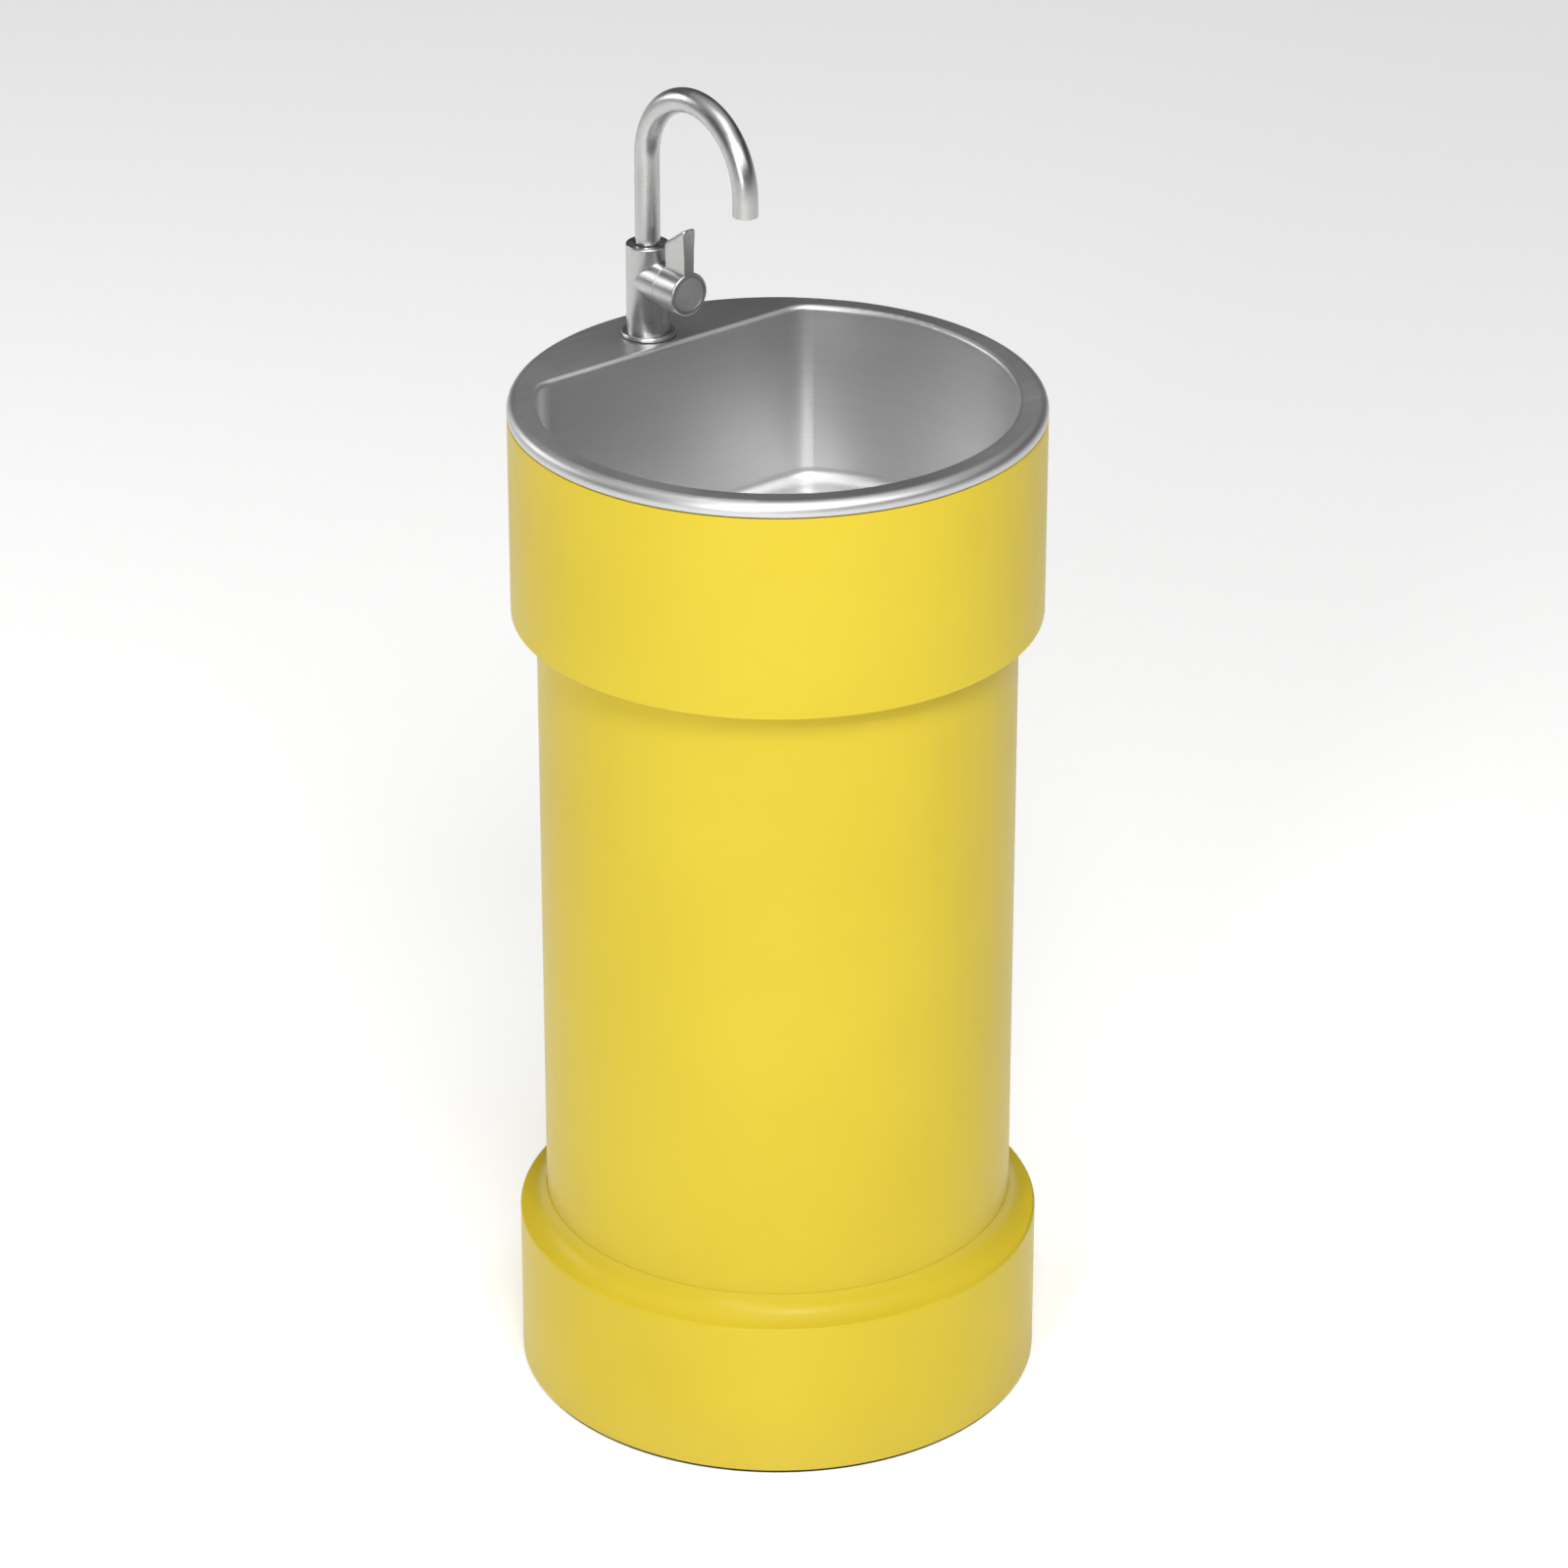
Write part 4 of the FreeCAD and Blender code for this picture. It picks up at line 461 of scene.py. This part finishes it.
def braid_hose():
    """The braided supply hose: a tube whose wall rises and falls with two crossing sets of wires."""
    path = hose_path(BRAID_STEP)
    side = Vector((1, 0, 0))
    length = 0.0
    points = []
    for i, centre in enumerate(path):
        ahead = (path[min(i + 1, len(path) - 1)] - path[max(i - 1, 0)]).normalized()
        up = ahead.cross(side)
        if i:
            length += (centre - path[i - 1]).length
        twist = 2 * math.pi * length / BRAID_PITCH
        for j in range(BRAID_SIDES):
            turn = 2 * math.pi * j / BRAID_SIDES
            over = math.cos(BRAID_STRANDS * (turn - twist)) * math.cos(BRAID_STRANDS * (turn + twist))
            radius = HOSE_RADIUS - BRAID_DEPTH * (0.5 - 0.5 * over)
            points.append(centre + (side * math.cos(turn) + up * math.sin(turn)) * radius)
    hose = mesh_piece("hose_braid", points, BRAID_SIDES, "braided_hose")
    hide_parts("supply_hose")


def thread(name, middle, radius, low, high, pitch):
    """A brass thread on an upright stud: one helical ridge, rooted in it, that fades out at both ends."""
    steps = round((high - low) / pitch * THREAD_SIDES)
    points = []
    for i in range(steps + 1):
        turn = 2 * math.pi * i / THREAD_SIDES
        level = low + (high - low) * i / steps
        fade = min(1.0, 2.0 * i / THREAD_SIDES, 2.0 * (steps - i) / THREAD_SIDES)
        for side, rise in THREAD_PROFILE:
            r = radius + THREAD_PROUD * (fade if side > 0 else -1)
            x = middle[0] + r * math.cos(turn)
            y = middle[1] + r * math.sin(turn)
            points.append((x, y, level + rise * pitch))
    mesh_piece(name, points, len(THREAD_PROFILE), "brass")


def cut_threads():
    """Threads on the stop valve's inlet, and on the tap's shank below its nut."""
    low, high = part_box("stop_valve_body")
    middle = ((low.x + high.x) / 2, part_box("stop_valve_ball")[0].y + BALL_RADIUS)
    start, end = (low.z + above for above in INLET_THREAD)
    thread("inlet_thread", middle, INLET_RADIUS, start, end, INLET_PITCH)
    low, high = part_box("tap_shank")
    middle = ((low.x + high.x) / 2, (low.y + high.y) / 2)
    start, end = low.z + SHANK_THREAD[0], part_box("shank_nut")[0].z - SHANK_THREAD[1]
    thread("shank_thread", middle, (high.x - low.x) / 2, start, end, SHANK_PITCH)


add_camera()
dress_nodes()
braid_hose()
cut_threads()
add_floor()
add_world()
for softbox, settings in SOFTBOXES.items():
    add_softbox(softbox, *settings)
bpy.context.scene.view_settings.view_transform = "Standard"
